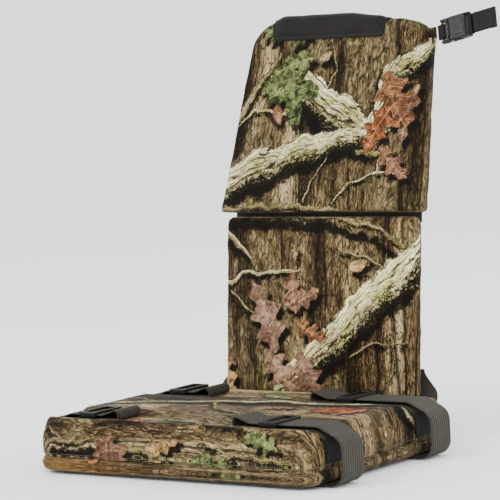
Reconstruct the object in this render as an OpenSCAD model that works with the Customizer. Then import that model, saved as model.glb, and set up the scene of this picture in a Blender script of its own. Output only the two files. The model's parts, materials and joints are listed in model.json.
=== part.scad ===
/* [Seat] */
// Width of the seat pad, side to side
seat_w = 457; // [380:1:560]
// Depth of the seat pad, front to back
seat_d = 356; // [290:1:430]
// Thickness of the seat pad
seat_t = 70; // [56:1:90]
// Radius of the seat's corners, seen from above
seat_corner_r = 28; // [22:1:60]
// Radius of the seat's top edge
seat_top_r = 20; // [10:1:28]
// Radius of the seat's bottom edge
seat_bottom_r = 8; // [4:1:12]
// Height of the lower boxing band that is sewn round the seat
band_h = 22; // [16:1:30]
// Thickness of the padded base cloth under the seat
base_t = 3.5; // [2.8:0.1:5]

/* [Backrest] */
// Width of the lower back panel
lower_w = 330; // [270:1:400]
// Height of the lower back panel
lower_h = 262; // [200:1:310]
// Thickness of the lower back panel
lower_t = 25; // [18:1:34]
// Width of the upper back panel at the crease
upper_w = 350; // [290:1:420]
// Width of the upper back panel at its top
upper_top_w = 306; // [260:1:380]
// Height of the upper back panel
upper_h = 292; // [240:1:350]
// Thickness of the upper back panel
upper_t = 28; // [20:1:38]
// Backward lean of the lower panel from vertical
lower_lean = 5.5; // [0:0.5:12]
// Backward lean of the upper panel from vertical
upper_lean = 17.5; // [12:0.5:25]
// Length of the vinyl wrap over the top edge
wrap_w = 194; // [150:1:240]
// Distance of the wrap's middle from the seat's middle, to the left
wrap_offset = 16; // [0:1:50]
// Depth of the wrap down the panel's faces
wrap_h = 40; // [25:1:60]

/* [Skins and boards] */
// Thickness of the cover cloth
cover_t = 1.5; // [1:0.1:2]
// Thickness of the stiffener board under the seat foam
seat_board_t = 4; // [3:0.5:6]
// Thickness of the stiffener boards in the back panels
back_board_t = 2.5; // [2:0.5:4]
// Distance of a board's edge from the outside of its pad
board_inset = 14; // [12:1:24]

/* [Seat straps] */
// Width of the seat straps' webbing
web_w = 50; // [38:1:60]
// Thickness of the webbing
web_t = 2; // [1.6:0.1:2.3]
// Distance from the seat's front edge to the middle of the front straps
front_strap_y = 62; // [56:1:90]
// Distance from the seat's back edge to the middle of the rear straps
rear_strap_y = 74; // [70:1:90]
// Length of webbing sewn under the seat, from the side edge inwards
anchor_len = 95; // [70:1:130]
// How far the right-hand loops stand out from the seat's side
loop_out = 25; // [18:1:34]
// Distance from the seat's side edge to the middle of each slider: front right, rear right, front left, rear left
slider_in = [86, 108, 72, 62]; // [60:1:115]
// Distance from the seat's side edge to the end of each folded tail, in the same order
fold_in = [147, 170, 124, 118]; // [110:1:180]
// Height of the folded tails above the seat
fold_rise = 16; // [13:1:20]

/* [Sliders] */
// Length of a slider along its strap
slider_l = 28; // [22:1:32]
// Thickness of a slider's bars
bar_t = 3; // [2.4:0.1:3.6]
// Width of a slider's end cheeks
cheek_w = 4.6; // [3.5:0.1:6]

/* [Top strap] */
// Width of the top strap's webbing
top_web_w = 30; // [24:1:34]
// Length of the webbing beyond the buckle
stub_len = 42; // [36:1:70]
// Rise of the top strap above the panel's crosswise line
strap_rise = 13; // [0:1:20]
// Width of the buckle
buckle_w = 36; // [32:1:44]
// Thickness of the buckle
buckle_t = 11; // [10:0.5:13]
// Length of the buckle's socket body
socket_l = 27; // [24:1:32]

/* [Hidden] */

// Gap between pieces that lie against each other
gap = 0.3;
// Least height between two rings of a lofted pad
ring_gap = 0.4;
// Flat steps in each rounded corner and edge
arc_steps = 7;
edge_steps = 4;
// Facets of the round bars
round_fn = 48;

// Hinge between the seat and the back, behind the seat's top edge
hinge_back = 3;
hinge_drop = 10;
hinge_roll_r = 2.6;
hinge_y = seat_d / 2 + hinge_back;
hinge_z = seat_t - hinge_drop;
// Distance of the lower panel's front face behind that hinge
panel_back = 3.5;
// Hinge at the crease, just behind the panels' rear faces
crease_gap = 1.5;
crease_y = panel_back + lower_t + crease_gap;
crease_z = lower_h + crease_gap;
crease_roll_r = 1.1;
crease_turn = upper_lean - lower_lean;

// Edge rounding of the back panels, front and rear
face_r = 9;
rear_r = 5;
panel_corner_r = 8;
// The upper panel's top corners: a round one on the left, a drawn-out one on the right
left_corner_r = 34;
right_drop = 30;
right_run = 55;
right_corner_r = 12;
ridge_r = 60;

// The strap's two layers and the slider's bars, as heights above the seat's top
low_layer = gap + web_t / 2;
centre_bar_z = gap + web_t + gap;
high_layer = centre_bar_z + bar_t + gap + web_t / 2;
outer_bar_z = high_layer + web_t / 2 + gap;
slider_top = outer_bar_z + bar_t;
slider_w = web_w + 2 * (gap + cheek_w);
centre_bar_l = 7;
outer_bar_l = 6;
cheek_r = 3;

// Lengths along a strap's fold and round the seat's edge
fold_ramp = 28;
fold_bend_r = 5;
fold_lean = 3;
loop_low_r = 20;
loop_high_r = 20;
loop_slope_in = 10;
loop_slope_drop = 10;
layer_bend_r = 18;
left_step_in = seat_top_r + 6;
left_step_run = 12;
free_end_z = 30;
left_free_end_in = 44;
groove_side = 0.6;
groove_deep = 0.1;

// Buckle stations along the top strap, from its pivot
pivot_out = 8;
pivot_up = 6;
tab_w = 22;
tab_t = 3;
bar_x = 9;
bar_r = 2;
loop_r = 4;
plug_x = 14;
plug_end = 20;
arm_w = 4;
prong_root_x = 19.5;
prong_root_r = 1.8;
prong_t = 4.4;
prong_w = 3;
prong_len = 21;
pad_w = 4.5;
pad_from = 8;
pad_len = 11;
tongue_w = 10;
tongue_t = 4;
tongue_end = 40;
wall_t = 1.5;
socket_x = plug_end + 0.6;
socket_end = socket_x + socket_l;
strap_bar_x = socket_end + 5;
strap_bar_r = 1.8;
strap_loop_r = strap_bar_r + gap + web_t;
strap_end = strap_bar_x + stub_len;
hem_len = 10;

function unit(v) = v / norm(v);
function wrap_angle(a) = a > 180 ? a - 360 : a < -180 ? a + 360 : a;

// Points of the arc of radius r that rounds corner b between a and c
function corner_arc(a, b, c, r) =
    let (
        u = unit(a - b),
        v = unit(c - b),
        half = acos(u * v) / 2,
        centre = b + r / sin(half) * unit(u + v),
        p = b + r / tan(half) * u - centre,
        q = b + r / tan(half) * v - centre,
        from = atan2(p.y, p.x),
        sweep = wrap_angle(atan2(q.y, q.x) - from)
    )
    [for (i = [0:arc_steps]) centre + r * [cos(from + sweep * i / arc_steps), sin(from + sweep * i / arc_steps)]];

// A closed outline through corners [x, y, radius]
function rounded_outline(corners) =
    let (n = len(corners), p = [for (c = corners) [c.x, c.y]])
    [for (i = [0:n - 1]) each corner_arc(p[(i + n - 1) % n], p[i], p[(i + 1) % n], corners[i].z)];

// An open path through bends [x, y, radius], whose two ends have no radius
function rounded_path(bends) =
    let (n = len(bends), p = [for (b = bends) [b.x, b.y]])
    [
        p[0],
        for (i = [1:n - 2]) each corner_arc(p[i - 1], p[i], p[i + 1], bends[i].z),
        p[n - 1]
    ];

function path_normal(path, i) =
    let (d = unit(path[min(i + 1, len(path) - 1)] - path[max(i - 1, 0)])) [-d.y, d.x];

// The outline of a strip of thickness t along a path
function strip(path, t) = concat(
    [for (i = [0:len(path) - 1]) path[i] + t / 2 * path_normal(path, i)],
    [for (i = [len(path) - 1:-1:0]) path[i] - t / 2 * path_normal(path, i)]
);

// How far a pad with a low edge radius and a high one is drawn in at height h
function edge_inset(h, t, low_r, high_r) =
    h < low_r ? low_r - sqrt(max(low_r ^ 2 - (low_r - h) ^ 2, 0)) :
    h > t - high_r ? high_r - sqrt(max(high_r ^ 2 - (h - t + high_r) ^ 2, 0)) : 0;

// Heights of the rings that such a pad needs between two heights
function ring_heights(from, to, t, low_r, high_r) = concat(
    [from],
    [
        for (i = [0:2 * edge_steps + 1])
            let (
                high = i > edge_steps,
                a = 90 * (high ? i - edge_steps - 1 : i) / edge_steps,
                h = high ? t - high_r * (1 - sin(a)) : low_r * (1 - cos(a))
            )
            if (h > from + ring_gap && h < to - ring_gap) h
    ],
    [to]
);

// [height, inset] of each ring of a pad that is shrunk by a skin on every side
function pad_rings(from, to, t, low_r, high_r, skin) =
    let (ti = t - 2 * skin, lo = low_r - skin, hi = high_r - skin)
    [for (h = ring_heights(from - skin, to - skin, ti, lo, hi)) [h + skin, skin + edge_inset(h, ti, lo, hi)]];

function reversed(list) = [for (i = [len(list) - 1:-1:0]) list[i]];

// A solid through rings of points; a looped one joins its last ring to its first
module loft(rings, looped = false) {
    n = len(rings[0]);
    m = len(rings);
    sides = [
        for (i = [0:m - (looped ? 1 : 2)], j = [0:n - 1])
            let (a = i * n + j, b = i * n + (j + 1) % n, up = (i + 1) % m * n)
            each [[a, up + j, up + (j + 1) % n], [a, up + (j + 1) % n, b]]
    ];
    caps = looped ? [] : [[for (j = [0:n - 1]) j], [for (j = [n - 1:-1:0]) (m - 1) * n + j]];
    polyhedron([for (r = rings) each r], concat(sides, caps), convexity = 6);
}

function seat_outline(inset) =
    let (x = seat_w / 2 - inset, y = seat_d / 2 - inset, r = max(seat_corner_r - inset, 3))
    rounded_outline([[-x, -y, r], [x, -y, r], [x, y, r], [-x, y, r]]);

// Rings of the seat pad, from one height to another, inside a skin
function seat_rings(from, to, skin = 0) =
    [for (s = pad_rings(from, to, seat_t, seat_bottom_r, seat_top_r, skin)) seat_ring(s[0], s[1])];

function seat_ring(height, inset) = [for (p = seat_outline(inset)) [p.x, p.y, height]];

function lower_outline(inset) =
    let (x = lower_w / 2 - inset, r = max(panel_corner_r - inset, 1))
    rounded_outline([[-x, inset, r], [x, inset, r], [x, lower_h - inset, r], [-x, lower_h - inset, r]]);

// The upper panel's lower edge is cut so that it stands level on the lower panel
function mitre_z(depth) = crease_gap - (crease_gap + depth) * tan(crease_turn);

function upper_outline(inset, depth) =
    let (
        low = mitre_z(depth) + inset,
        high = crease_gap + upper_h - inset,
        x0 = upper_w / 2 - inset,
        x1 = upper_top_w / 2 - inset,
        r = max(panel_corner_r - inset, 1)
    )
    rounded_outline([
        [-x0, low, r],
        [x0, low, r],
        [x1, high - right_drop, right_corner_r],
        [x1 - right_run, high, ridge_r],
        [-x1, high, left_corner_r]
    ]);

// Rings of a back panel that lies face up, with its rear face at height 0
function lower_rings(from, to, skin = 0) = [
    for (s = pad_rings(from, to, lower_t, rear_r, face_r, skin))
        [for (p = lower_outline(s[1])) [p.x, p.y, s[0]]]
];

function upper_rings(from, to, skin = 0) = [
    for (s = pad_rings(from, to, upper_t, rear_r, face_r, skin))
        [for (p = upper_outline(s[1], s[0])) [p.x, p.y, s[0]]]
];

module lower_frame() {
    translate([0, hinge_y, hinge_z]) rotate([-lower_lean, 0, 0]) children();
}

module upper_frame() {
    lower_frame() translate([0, crease_y, crease_z]) rotate([-crease_turn, 0, 0]) children();
}

module lower_panel() {
    lower_frame() translate([0, panel_back + lower_t, 0]) rotate([90, 0, 0]) children();
}

module upper_panel() {
    upper_frame() translate([0, -crease_gap, 0]) rotate([90, 0, 0]) children();
}

// The top strap's own frame: X along the strap, Y through it, Z across it
module strap_frame() {
    pivot = [upper_top_w / 2 + pivot_out, -crease_gap - upper_t / 2, crease_gap + upper_h - right_drop - tab_w / 2 + pivot_up];
    upper_frame() translate(pivot) rotate([0, -strap_rise, 0]) children();
}

// Seat ------------------------------------------------------------------

function strap_y(rear) = rear ? seat_d / 2 - rear_strap_y : front_strap_y - seat_d / 2;

// Grooves in the seat's underside that the straps lie in
module strap_grooves() {
    for (side = [-1, 1], rear = [false, true])
        translate([side * (seat_w / 2 - anchor_len / 2), strap_y(rear), 0])
            cube([anchor_len + 2 * groove_side + 20, web_w + 2 * groove_side, 2 * (web_t + groove_deep)], center = true);
}

module seat_cover() {
    low = band_h + gap;
    color("#77664a")
        loft(concat(reversed(seat_rings(low, seat_t - cover_t, cover_t)), seat_rings(low, seat_t)));
}

module seat_band() {
    lip = seat_bottom_r + 2 - gap;
    color("#8d7a55")
        difference() {
            loft(concat(
                [seat_ring(0, lip)], seat_rings(0, band_h),
                reversed(seat_rings(cover_t, band_h, cover_t)), [seat_ring(cover_t, lip)]
            ), looped = true);
            strap_grooves();
        }
}

module seat_base() {
    color("#3a3d33")
        difference() {
            linear_extrude(base_t) polygon(seat_outline(seat_bottom_r + 2));
            strap_grooves();
        }
}

module seat_board() {
    color("#c8a878")
        translate([0, 0, base_t + gap]) linear_extrude(seat_board_t) polygon(seat_outline(board_inset));
}

module seat_foam() {
    color("#d8d2c0")
        loft(seat_rings(base_t + seat_board_t + 2 * gap, seat_t - cover_t - gap, cover_t + gap));
}

// A sewn strip up the seat's back wall that ends in the roll the back turns on
module seat_hinge() {
    strip_low = 35;
    strip_t = 1.2;
    roll_len = lower_w - 24;
    color("#4b4436") {
        translate([-roll_len / 2, hinge_y, hinge_z]) rotate([0, 90, 0]) cylinder(r = hinge_roll_r, h = roll_len, $fn = round_fn);
        translate([-roll_len / 2, seat_d / 2 + gap, hinge_z - strip_low])
            cube([roll_len, strip_t, strip_low]);
    }
}

// Back panels ---------------------------------------------------------------

module lower_front_cover() {
    color("#7a6a4c")
        lower_panel() loft(concat(
            reversed(lower_rings(cover_t + gap, lower_t - cover_t, cover_t)),
            lower_rings(cover_t + gap, lower_t)
        ));
}

module lower_rear_cover() {
    color("#5a5240")
        lower_panel() loft(lower_rings(0, cover_t));
}

module lower_board() {
    color("#2a2a2a")
        lower_panel() translate([0, 0, cover_t + gap]) linear_extrude(back_board_t) polygon(lower_outline(board_inset));
}

module lower_foam() {
    color("#d8d2c0")
        lower_panel() loft(lower_rings(cover_t + back_board_t + 2 * gap, lower_t - cover_t - gap, cover_t + gap));
}

module crease_binding() {
    roll_len = lower_w - 12;
    color("#4b4436")
        lower_frame() translate([-roll_len / 2, crease_y, crease_z]) rotate([0, 90, 0])
            cylinder(r = crease_roll_r, h = roll_len, $fn = round_fn);
}

module upper_front_cover() {
    color("#86734f")
        upper_panel() loft(concat(
            reversed(upper_rings(cover_t + gap, upper_t - cover_t, cover_t)),
            upper_rings(cover_t + gap, upper_t)
        ));
}

module upper_rear_cover() {
    color("#5a5240")
        upper_panel() loft(upper_rings(0, cover_t));
}

module upper_board() {
    color("#2a2a2a")
        upper_panel() translate([0, 0, cover_t + gap]) linear_extrude(back_board_t)
            polygon(upper_outline(board_inset, cover_t));
}

module upper_foam() {
    color("#d8d2c0")
        upper_panel() loft(upper_rings(cover_t + back_board_t + 2 * gap, upper_t - cover_t - gap, cover_t + gap));
}

module top_wrap() {
    top = crease_gap + upper_h;
    outside = cover_t + gap;
    color("#241f1e")
        upper_panel() intersection() {
            difference() {
                loft(upper_rings(-outside, upper_t + outside, -outside));
                loft(upper_rings(-gap, upper_t + gap, -gap));
            }
            translate([-wrap_offset - wrap_w / 2, top - wrap_h, -upper_t])
                cube([wrap_w, 2 * wrap_h, 3 * upper_t]);
        }
}

// Seat straps -----------------------------------------------------------------

// Bends of a strap from its sewn end to its free end, as [outward, up, radius] from the seat's side.
// A right-hand strap stands out in an open loop and ends inside it. A left-hand one hugs the seat.
function tail_bends(fold) = [
    [-(fold - fold_ramp), seat_t + high_layer, layer_bend_r],
    [-(fold - fold_lean), seat_t + fold_rise, fold_bend_r],
    [-fold, seat_t + low_layer, fold_bend_r]
];

function right_bends(fold) = concat(
    [
        [-anchor_len, web_t / 2, 0],
        [loop_out, web_t / 2, loop_low_r],
        [loop_out, seat_t - loop_slope_drop, loop_high_r],
        [-loop_slope_in, seat_t + high_layer, layer_bend_r]
    ],
    tail_bends(fold),
    [
        [low_layer, seat_t + low_layer, seat_top_r + low_layer],
        [low_layer, free_end_z, 0]
    ]
);

function left_bends(fold) = concat(
    [
        [-anchor_len, web_t / 2, 0],
        [low_layer, web_t / 2, seat_bottom_r / 2],
        [low_layer, seat_t + low_layer, seat_top_r + low_layer],
        [-left_step_in, seat_t + low_layer, layer_bend_r],
        [-left_step_in - left_step_run, seat_t + high_layer, layer_bend_r]
    ],
    tail_bends(fold),
    [[-left_free_end_in, seat_t + low_layer, 0]]
);

module strap(side, rear, fold) {
    bends = side > 0 ? right_bends(fold) : left_bends(fold);
    path = [for (p = rounded_path(bends)) [side * (seat_w / 2 + p.x), p.y]];
    color("#4a4c3f")
        translate([0, strap_y(rear) + web_w / 2, 0]) rotate([90, 0, 0])
            linear_extrude(web_w) polygon(strip(path, web_t));
}

module strap_front_right() strap(1, false, fold_in[0]);
module strap_rear_right() strap(1, true, fold_in[1]);
module strap_front_left() strap(-1, false, fold_in[2]);
module strap_rear_left() strap(-1, true, fold_in[3]);

// Sliders: two bars above the strap, one between its layers, and a cheek at each end
module slider_bar(x, length, z) {
    translate([x - length / 2, -slider_w / 2 + cheek_w / 2, z]) cube([length, slider_w - cheek_w, bar_t]);
}

module slider(side, rear, inward) {
    cheek = rounded_outline([
        [-slider_l / 2, 0, cheek_r], [slider_l / 2, 0, cheek_r],
        [slider_l / 2, slider_top - centre_bar_z, cheek_r], [-slider_l / 2, slider_top - centre_bar_z, cheek_r]
    ]);
    color("#1d1e1c")
        translate([side * (seat_w / 2 - inward), strap_y(rear), seat_t]) {
            slider_bar(0, centre_bar_l, centre_bar_z);
            for (x = [-1, 1])
                slider_bar(x * (slider_l - outer_bar_l) / 2, outer_bar_l, outer_bar_z);
            for (y = [-1, 1])
                translate([0, y * (slider_w - cheek_w) / 2 + cheek_w / 2, centre_bar_z])
                    rotate([90, 0, 0]) linear_extrude(cheek_w) polygon(cheek);
        }
}

module slider_front_right() slider(1, false, slider_in[0]);
module slider_rear_right() slider(1, true, slider_in[1]);
module slider_front_left() slider(-1, false, slider_in[2]);
module slider_rear_left() slider(-1, true, slider_in[3]);

// Top strap -----------------------------------------------------------------

// A cloth wedge from the panel's corner out to the pivot, cut to the panel's outline
module corner_tab() {
    inner = -pivot_out - 6;
    outer = -tab_t / 2 - gap;
    wedge = [[inner, -tab_w / 2 - 7], [outer, -tab_w / 2], [outer, tab_w / 2], [inner, tab_w / 2]];
    color("#86734f")
        difference() {
            strap_frame() translate([0, tab_t / 2, 0]) rotate([90, 0, 0]) linear_extrude(tab_t) polygon(wedge);
            upper_panel() translate([0, 0, upper_t / 2 - tab_t]) linear_extrude(2 * tab_t)
                polygon(upper_outline(-gap, upper_t / 2));
        }
}

// Webbing from the pivot round the plug's bar
module tab_loop() {
    color("#191919")
        strap_frame() translate([0, 0, -tab_w / 2]) linear_extrude(tab_w)
            difference() {
                union() {
                    circle(r = tab_t / 2, $fn = round_fn);
                    translate([0, -tab_t / 2]) square([bar_x, tab_t]);
                    translate([bar_x, 0]) circle(r = loop_r, $fn = round_fn);
                }
                translate([bar_x, 0]) circle(r = bar_r + gap / 2, $fn = round_fn);
            }
}

module cross_bar(x, r) {
    translate([x, 0, -buckle_w / 2 + arm_w / 2]) cylinder(r = r, h = buckle_w - arm_w, $fn = round_fn);
}

module centred_box(from, to, y, z, t, w) {
    translate([from, y - t / 2, z - w / 2]) cube([to - from, t, w]);
}

// The plug's frame, cross block and middle tongue
module buckle_plug() {
    frame_t = buckle_t - 3;
    color("#111111")
        strap_frame() difference() {
            union() {
                cross_bar(bar_x, bar_r);
                centred_box(plug_x, plug_end, 0, 0, frame_t, buckle_w);
                for (z = [-1, 1])
                    centred_box(bar_x - bar_r, plug_end, 0, z * (buckle_w - arm_w) / 2, frame_t, arm_w);
                centred_box(plug_end - 1, tongue_end, 0, 0, tongue_t, tongue_w);
            }
            for (z = [-1, 1])
                translate([prong_root_x, 0, z * prong_z()]) rotate([90, 0, 0])
                    cylinder(r = prong_root_r + gap, h = 2 * buckle_t, center = true, $fn = round_fn);
        }
}

// Distance of a prong's root from the strap's middle line
function prong_z() = buckle_w / 2 - wall_t - pad_w - prong_w / 2 + 1;

// An arm on a round root, with a grip pad that fills the socket's side window
module prong(side) {
    color("#111111")
        strap_frame() translate([prong_root_x, 0, side * prong_z()]) {
            rotate([90, 0, 0]) cylinder(r = prong_root_r, h = prong_t, center = true, $fn = round_fn);
            centred_box(0, prong_len, 0, 0, prong_t, prong_w);
            centred_box(pad_from, pad_from + pad_len, 0, side * (buckle_w / 2 - prong_z() + prong_w / 2) / 2,
                prong_t, buckle_w / 2 - prong_z() - prong_w / 2 + 0.02);
        }
}

module buckle_prong_upper() prong(1);
module buckle_prong_lower() prong(-1);

// A flat sleeve with a window in each side and a bar at its far end
module buckle_socket() {
    inner_t = buckle_t - 2 * wall_t;
    inner_w = buckle_w - 2 * wall_t;
    window_from = prong_root_x + pad_from - 1;
    window_to = prong_root_x + pad_from + pad_len + 1;
    color("#111111")
        strap_frame() {
            difference() {
                centred_box(socket_x, socket_end, 0, 0, buckle_t, buckle_w);
                centred_box(socket_x - 1, socket_end - wall_t, 0, 0, inner_t, inner_w);
                centred_box(window_from, window_to, 0, 0, inner_t, buckle_w + 1);
            }
            for (z = [-1, 1])
                centred_box(socket_end - 1, strap_bar_x + strap_bar_r, 0, z * (buckle_w - arm_w / 2) / 2,
                    buckle_t - 3, arm_w / 2);
            cross_bar(strap_bar_x, strap_bar_r);
        }
}

// Webbing sewn round the socket's bar, with a doubled hem at its end
module top_strap() {
    color("#191919")
        strap_frame() translate([0, 0, -top_web_w / 2]) linear_extrude(top_web_w)
            difference() {
                union() {
                    translate([strap_bar_x, 0]) circle(r = strap_loop_r, $fn = round_fn);
                    translate([strap_bar_x, -web_t / 2]) square([stub_len, web_t]);
                    translate([strap_end - hem_len, -web_t / 2]) square([hem_len, 2 * web_t]);
                }
                translate([strap_bar_x, 0]) circle(r = strap_bar_r + gap / 2, $fn = round_fn);
            }
}

seat_cover();
seat_band();
seat_base();
seat_board();
seat_foam();
seat_hinge();
lower_front_cover();
lower_rear_cover();
lower_board();
lower_foam();
crease_binding();
upper_front_cover();
upper_rear_cover();
upper_board();
upper_foam();
top_wrap();
corner_tab();
strap_front_right();
strap_rear_right();
strap_front_left();
strap_rear_left();
slider_front_right();
slider_rear_right();
slider_front_left();
slider_rear_left();
tab_loop();
buckle_plug();
buckle_prong_upper();
buckle_prong_lower();
buckle_socket();
top_strap();
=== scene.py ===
"""Padded folding seat for a climbing tree stand: cloth, webbing and moulded pieces round its frame."""
import json
import logging
import math
from dataclasses import dataclass, field
from enum import Enum
from typing import Callable, Iterable, Protocol, Sequence

import bpy
import numpy as np
from mathutils import Matrix, Vector


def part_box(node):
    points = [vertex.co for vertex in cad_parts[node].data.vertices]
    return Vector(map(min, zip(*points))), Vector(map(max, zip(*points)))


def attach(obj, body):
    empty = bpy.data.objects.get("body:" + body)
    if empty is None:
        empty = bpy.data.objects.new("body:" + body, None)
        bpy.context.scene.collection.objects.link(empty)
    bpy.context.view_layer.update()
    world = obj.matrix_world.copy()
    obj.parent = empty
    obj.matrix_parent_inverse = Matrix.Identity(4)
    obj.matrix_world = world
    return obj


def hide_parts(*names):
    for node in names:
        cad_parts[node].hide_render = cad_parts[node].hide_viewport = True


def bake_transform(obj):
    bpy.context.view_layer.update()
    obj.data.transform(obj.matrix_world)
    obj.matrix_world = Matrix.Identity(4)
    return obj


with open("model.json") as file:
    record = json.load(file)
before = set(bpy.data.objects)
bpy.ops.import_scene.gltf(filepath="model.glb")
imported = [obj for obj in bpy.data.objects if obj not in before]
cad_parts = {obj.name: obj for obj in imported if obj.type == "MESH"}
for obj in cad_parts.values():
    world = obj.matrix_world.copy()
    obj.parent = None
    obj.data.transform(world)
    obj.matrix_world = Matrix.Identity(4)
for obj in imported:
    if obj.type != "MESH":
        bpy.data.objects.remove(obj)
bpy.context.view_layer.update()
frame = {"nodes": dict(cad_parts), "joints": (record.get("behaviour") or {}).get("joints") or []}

LOG = logging.getLogger("seat")
SCENE = bpy.context.scene
MM = 0.001

Array = np.ndarray
Colour = tuple[float, float, float]
Bend = tuple[float, float, float]
Piece = bpy.types.Object
Material = bpy.types.Material
Edge = bpy.types.MeshEdge
Mesh = bpy.types.Mesh
Socket = bpy.types.NodeSocket
Value = float | Colour | Socket
Chooser = Callable[[Edge, Mesh], bool]


# ---- frame facts


def joint_place(name: str) -> Vector:
    """Place of a hinge of the frame at rest, in metres."""
    for joint in frame["joints"]:
        if joint["name"] == name:
            return Vector(joint["pos_m"])
    raise KeyError(name)


# ---- small mathematics


def smooth(value: Array, low: float, high: float) -> Array:
    """Rise smoothly from 0 at low to 1 at high.

    Args:
        value: Numbers to place on the step.
        low: Where the step begins; it may be the larger one.
        high: Where the step ends.

    Returns:
        Numbers from 0 to 1.
    """
    t = np.clip((value - low) / (high - low), 0.0, 1.0)
    return t * t * (3.0 - 2.0 * t)


def run_of(line: Array) -> Array:
    """Length walked along a polyline at each of its points."""
    return np.concatenate([[0.0], np.cumsum(np.linalg.norm(np.diff(line, axis=0), axis=1))])


def rounded_path(bends: Sequence[Bend], step: float = 2.0) -> Array:
    """Walk a polyline whose inner corners are rounded, with points about one step apart.

    Args:
        bends: Corners as (x, y, radius); the two ends have radius 0.
        step: Distance between neighbouring points.

    Returns:
        An array of evenly spaced points.
    """
    points = [np.array(b[:2], float) for b in bends]
    walk = [points[0]]
    for i in range(1, len(points) - 1):
        a, b, c, radius = points[i - 1], points[i], points[i + 1], bends[i][2]
        u, v = (a - b) / np.linalg.norm(a - b), (c - b) / np.linalg.norm(c - b)
        half = math.acos(float(np.clip(u @ v, -1, 1))) / 2
        centre = b + radius / math.sin(half) * (u + v) / np.linalg.norm(u + v)
        start, end = b + radius / math.tan(half) * u - centre, b + radius / math.tan(half) * v - centre
        first = math.atan2(start[1], start[0])
        sweep = (math.atan2(end[1], end[0]) - first + math.pi) % (2 * math.pi) - math.pi
        for k in range(13):
            angle = first + sweep * k / 12
            walk.append(centre + radius * np.array([math.cos(angle), math.sin(angle)]))
    walk.append(points[-1])
    line = np.array(walk)
    lengths = run_of(line)
    even = np.linspace(0.0, lengths[-1], max(int(lengths[-1] / step), 2) + 1)
    return np.column_stack([np.interp(even, lengths, line[:, k]) for k in (0, 1)])


# ---- modelling with operators


def leave_edit() -> None:
    """Go back to object mode."""
    bpy.ops.object.mode_set(mode="OBJECT")


def edit_all(obj: Piece) -> None:
    """Enter edit mode with all of a mesh selected."""
    only(obj)
    bpy.ops.object.mode_set(mode="EDIT")
    bpy.ops.mesh.select_all(action="SELECT")


def only(obj: Piece) -> Piece:
    """Select one object alone and make it active."""
    if bpy.context.mode != "OBJECT":
        leave_edit()
    bpy.ops.object.select_all(action="DESELECT")
    obj.select_set(True)
    bpy.context.view_layer.objects.active = obj
    return obj


def settle(obj: Piece) -> Piece:
    """Put an object's place, turn and size into its mesh."""
    only(obj)
    bpy.ops.object.transform_apply(location=True, rotation=True, scale=True)
    return obj


def added(name: str, add: Callable[..., object], **settings: object) -> Piece:
    """Add a primitive with nothing else selected, and put its place in its mesh.

    Args:
        name: Name of the new object.
        add: Blender's operator for the primitive.
        settings: The operator's settings.

    Returns:
        The new object.
    """
    if bpy.context.mode != "OBJECT":
        leave_edit()
    bpy.ops.object.select_all(action="DESELECT")
    add(**settings)
    obj = bpy.context.object
    obj.name = obj.data.name = name
    return settle(obj)


def block(name: str, low: Sequence[float], high: Sequence[float]) -> Piece:
    """Add a box between two corners, given in millimetres.

    Args:
        name: Name of the new object.
        low: Lowest corner.
        high: Highest corner.

    Returns:
        The box, with its place in its mesh.
    """
    low, high = ([v * MM for v in corner] for corner in (low, high))
    centre = [(a + b) / 2 for a, b in zip(low, high)]
    size = [b - a for a, b in zip(low, high)]
    return added(name, bpy.ops.mesh.primitive_cube_add, size=1.0, location=centre, scale=size)


def modify(obj: Piece, kind: str, **values: object) -> Piece:
    """Add a modifier, set its values and apply it.

    Args:
        obj: Mesh object.
        kind: Blender's modifier type.
        values: Modifier settings by name.

    Returns:
        The same object.
    """
    only(obj)
    modifier = obj.modifiers.new(kind.lower(), kind)
    for key, value in values.items():
        setattr(modifier, key, value)
    bpy.ops.object.modifier_apply(modifier=modifier.name)
    return obj


def edit(obj: Piece, chosen: Chooser) -> None:
    """Enter edit mode with only the chosen edges selected.

    Args:
        obj: Mesh object.
        chosen: Test of an edge of the mesh.
    """
    only(obj)
    bpy.ops.object.mode_set(mode="EDIT")
    bpy.ops.mesh.select_mode(type="EDGE")
    bpy.ops.mesh.select_all(action="DESELECT")
    bpy.ops.object.mode_set(mode="OBJECT")
    for edge in obj.data.edges:
        edge.select = chosen(edge, obj.data)
    bpy.ops.object.mode_set(mode="EDIT")


def runs_along(edge: Edge, mesh: Mesh, axis: int) -> bool:
    """Whether an edge runs along one axis."""
    a, b = (mesh.vertices[i].co for i in edge.vertices)
    d = b - a
    return abs(d[axis]) > 0.98 * d.length


def bevel_edges(
    obj: Piece,
    width: float,
    segments: int,
    chosen: Chooser = lambda edge, mesh: True,
) -> Piece:
    """Round the chosen edges of a mesh.

    Args:
        obj: Mesh object.
        width: Bevel width in millimetres.
        segments: Faces across the bevel.
        chosen: Test of an edge; every edge by default.

    Returns:
        The same object.
    """
    edit(obj, chosen)
    bpy.ops.mesh.bevel(offset=width * MM, segments=segments, affect="EDGES")
    leave_edit()
    return obj


def carve(obj: Piece, tool: Piece, operation: str = "DIFFERENCE") -> Piece:
    """Combine a mesh with a tool mesh, which is then removed.

    Args:
        obj: Mesh that is kept.
        tool: Mesh that cuts or joins.
        operation: DIFFERENCE, UNION or INTERSECT.

    Returns:
        The kept object.
    """
    modify(obj, "BOOLEAN", object=tool, operation=operation, solver="EXACT")
    bpy.data.objects.remove(tool, do_unlink=True)
    return obj


def soften(obj: Piece, angle: float = 40.0) -> Piece:
    """Shade a mesh smooth, apart from edges sharper than an angle in degrees."""
    only(obj)
    bpy.ops.object.shade_smooth_by_angle(angle=math.radians(angle))
    return obj


def points_of(obj: Piece) -> Array:
    """Vertex places of a mesh, in metres."""
    co = np.empty(len(obj.data.vertices) * 3, np.float64)
    obj.data.vertices.foreach_get("co", co)
    return co.reshape(-1, 3)


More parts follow.
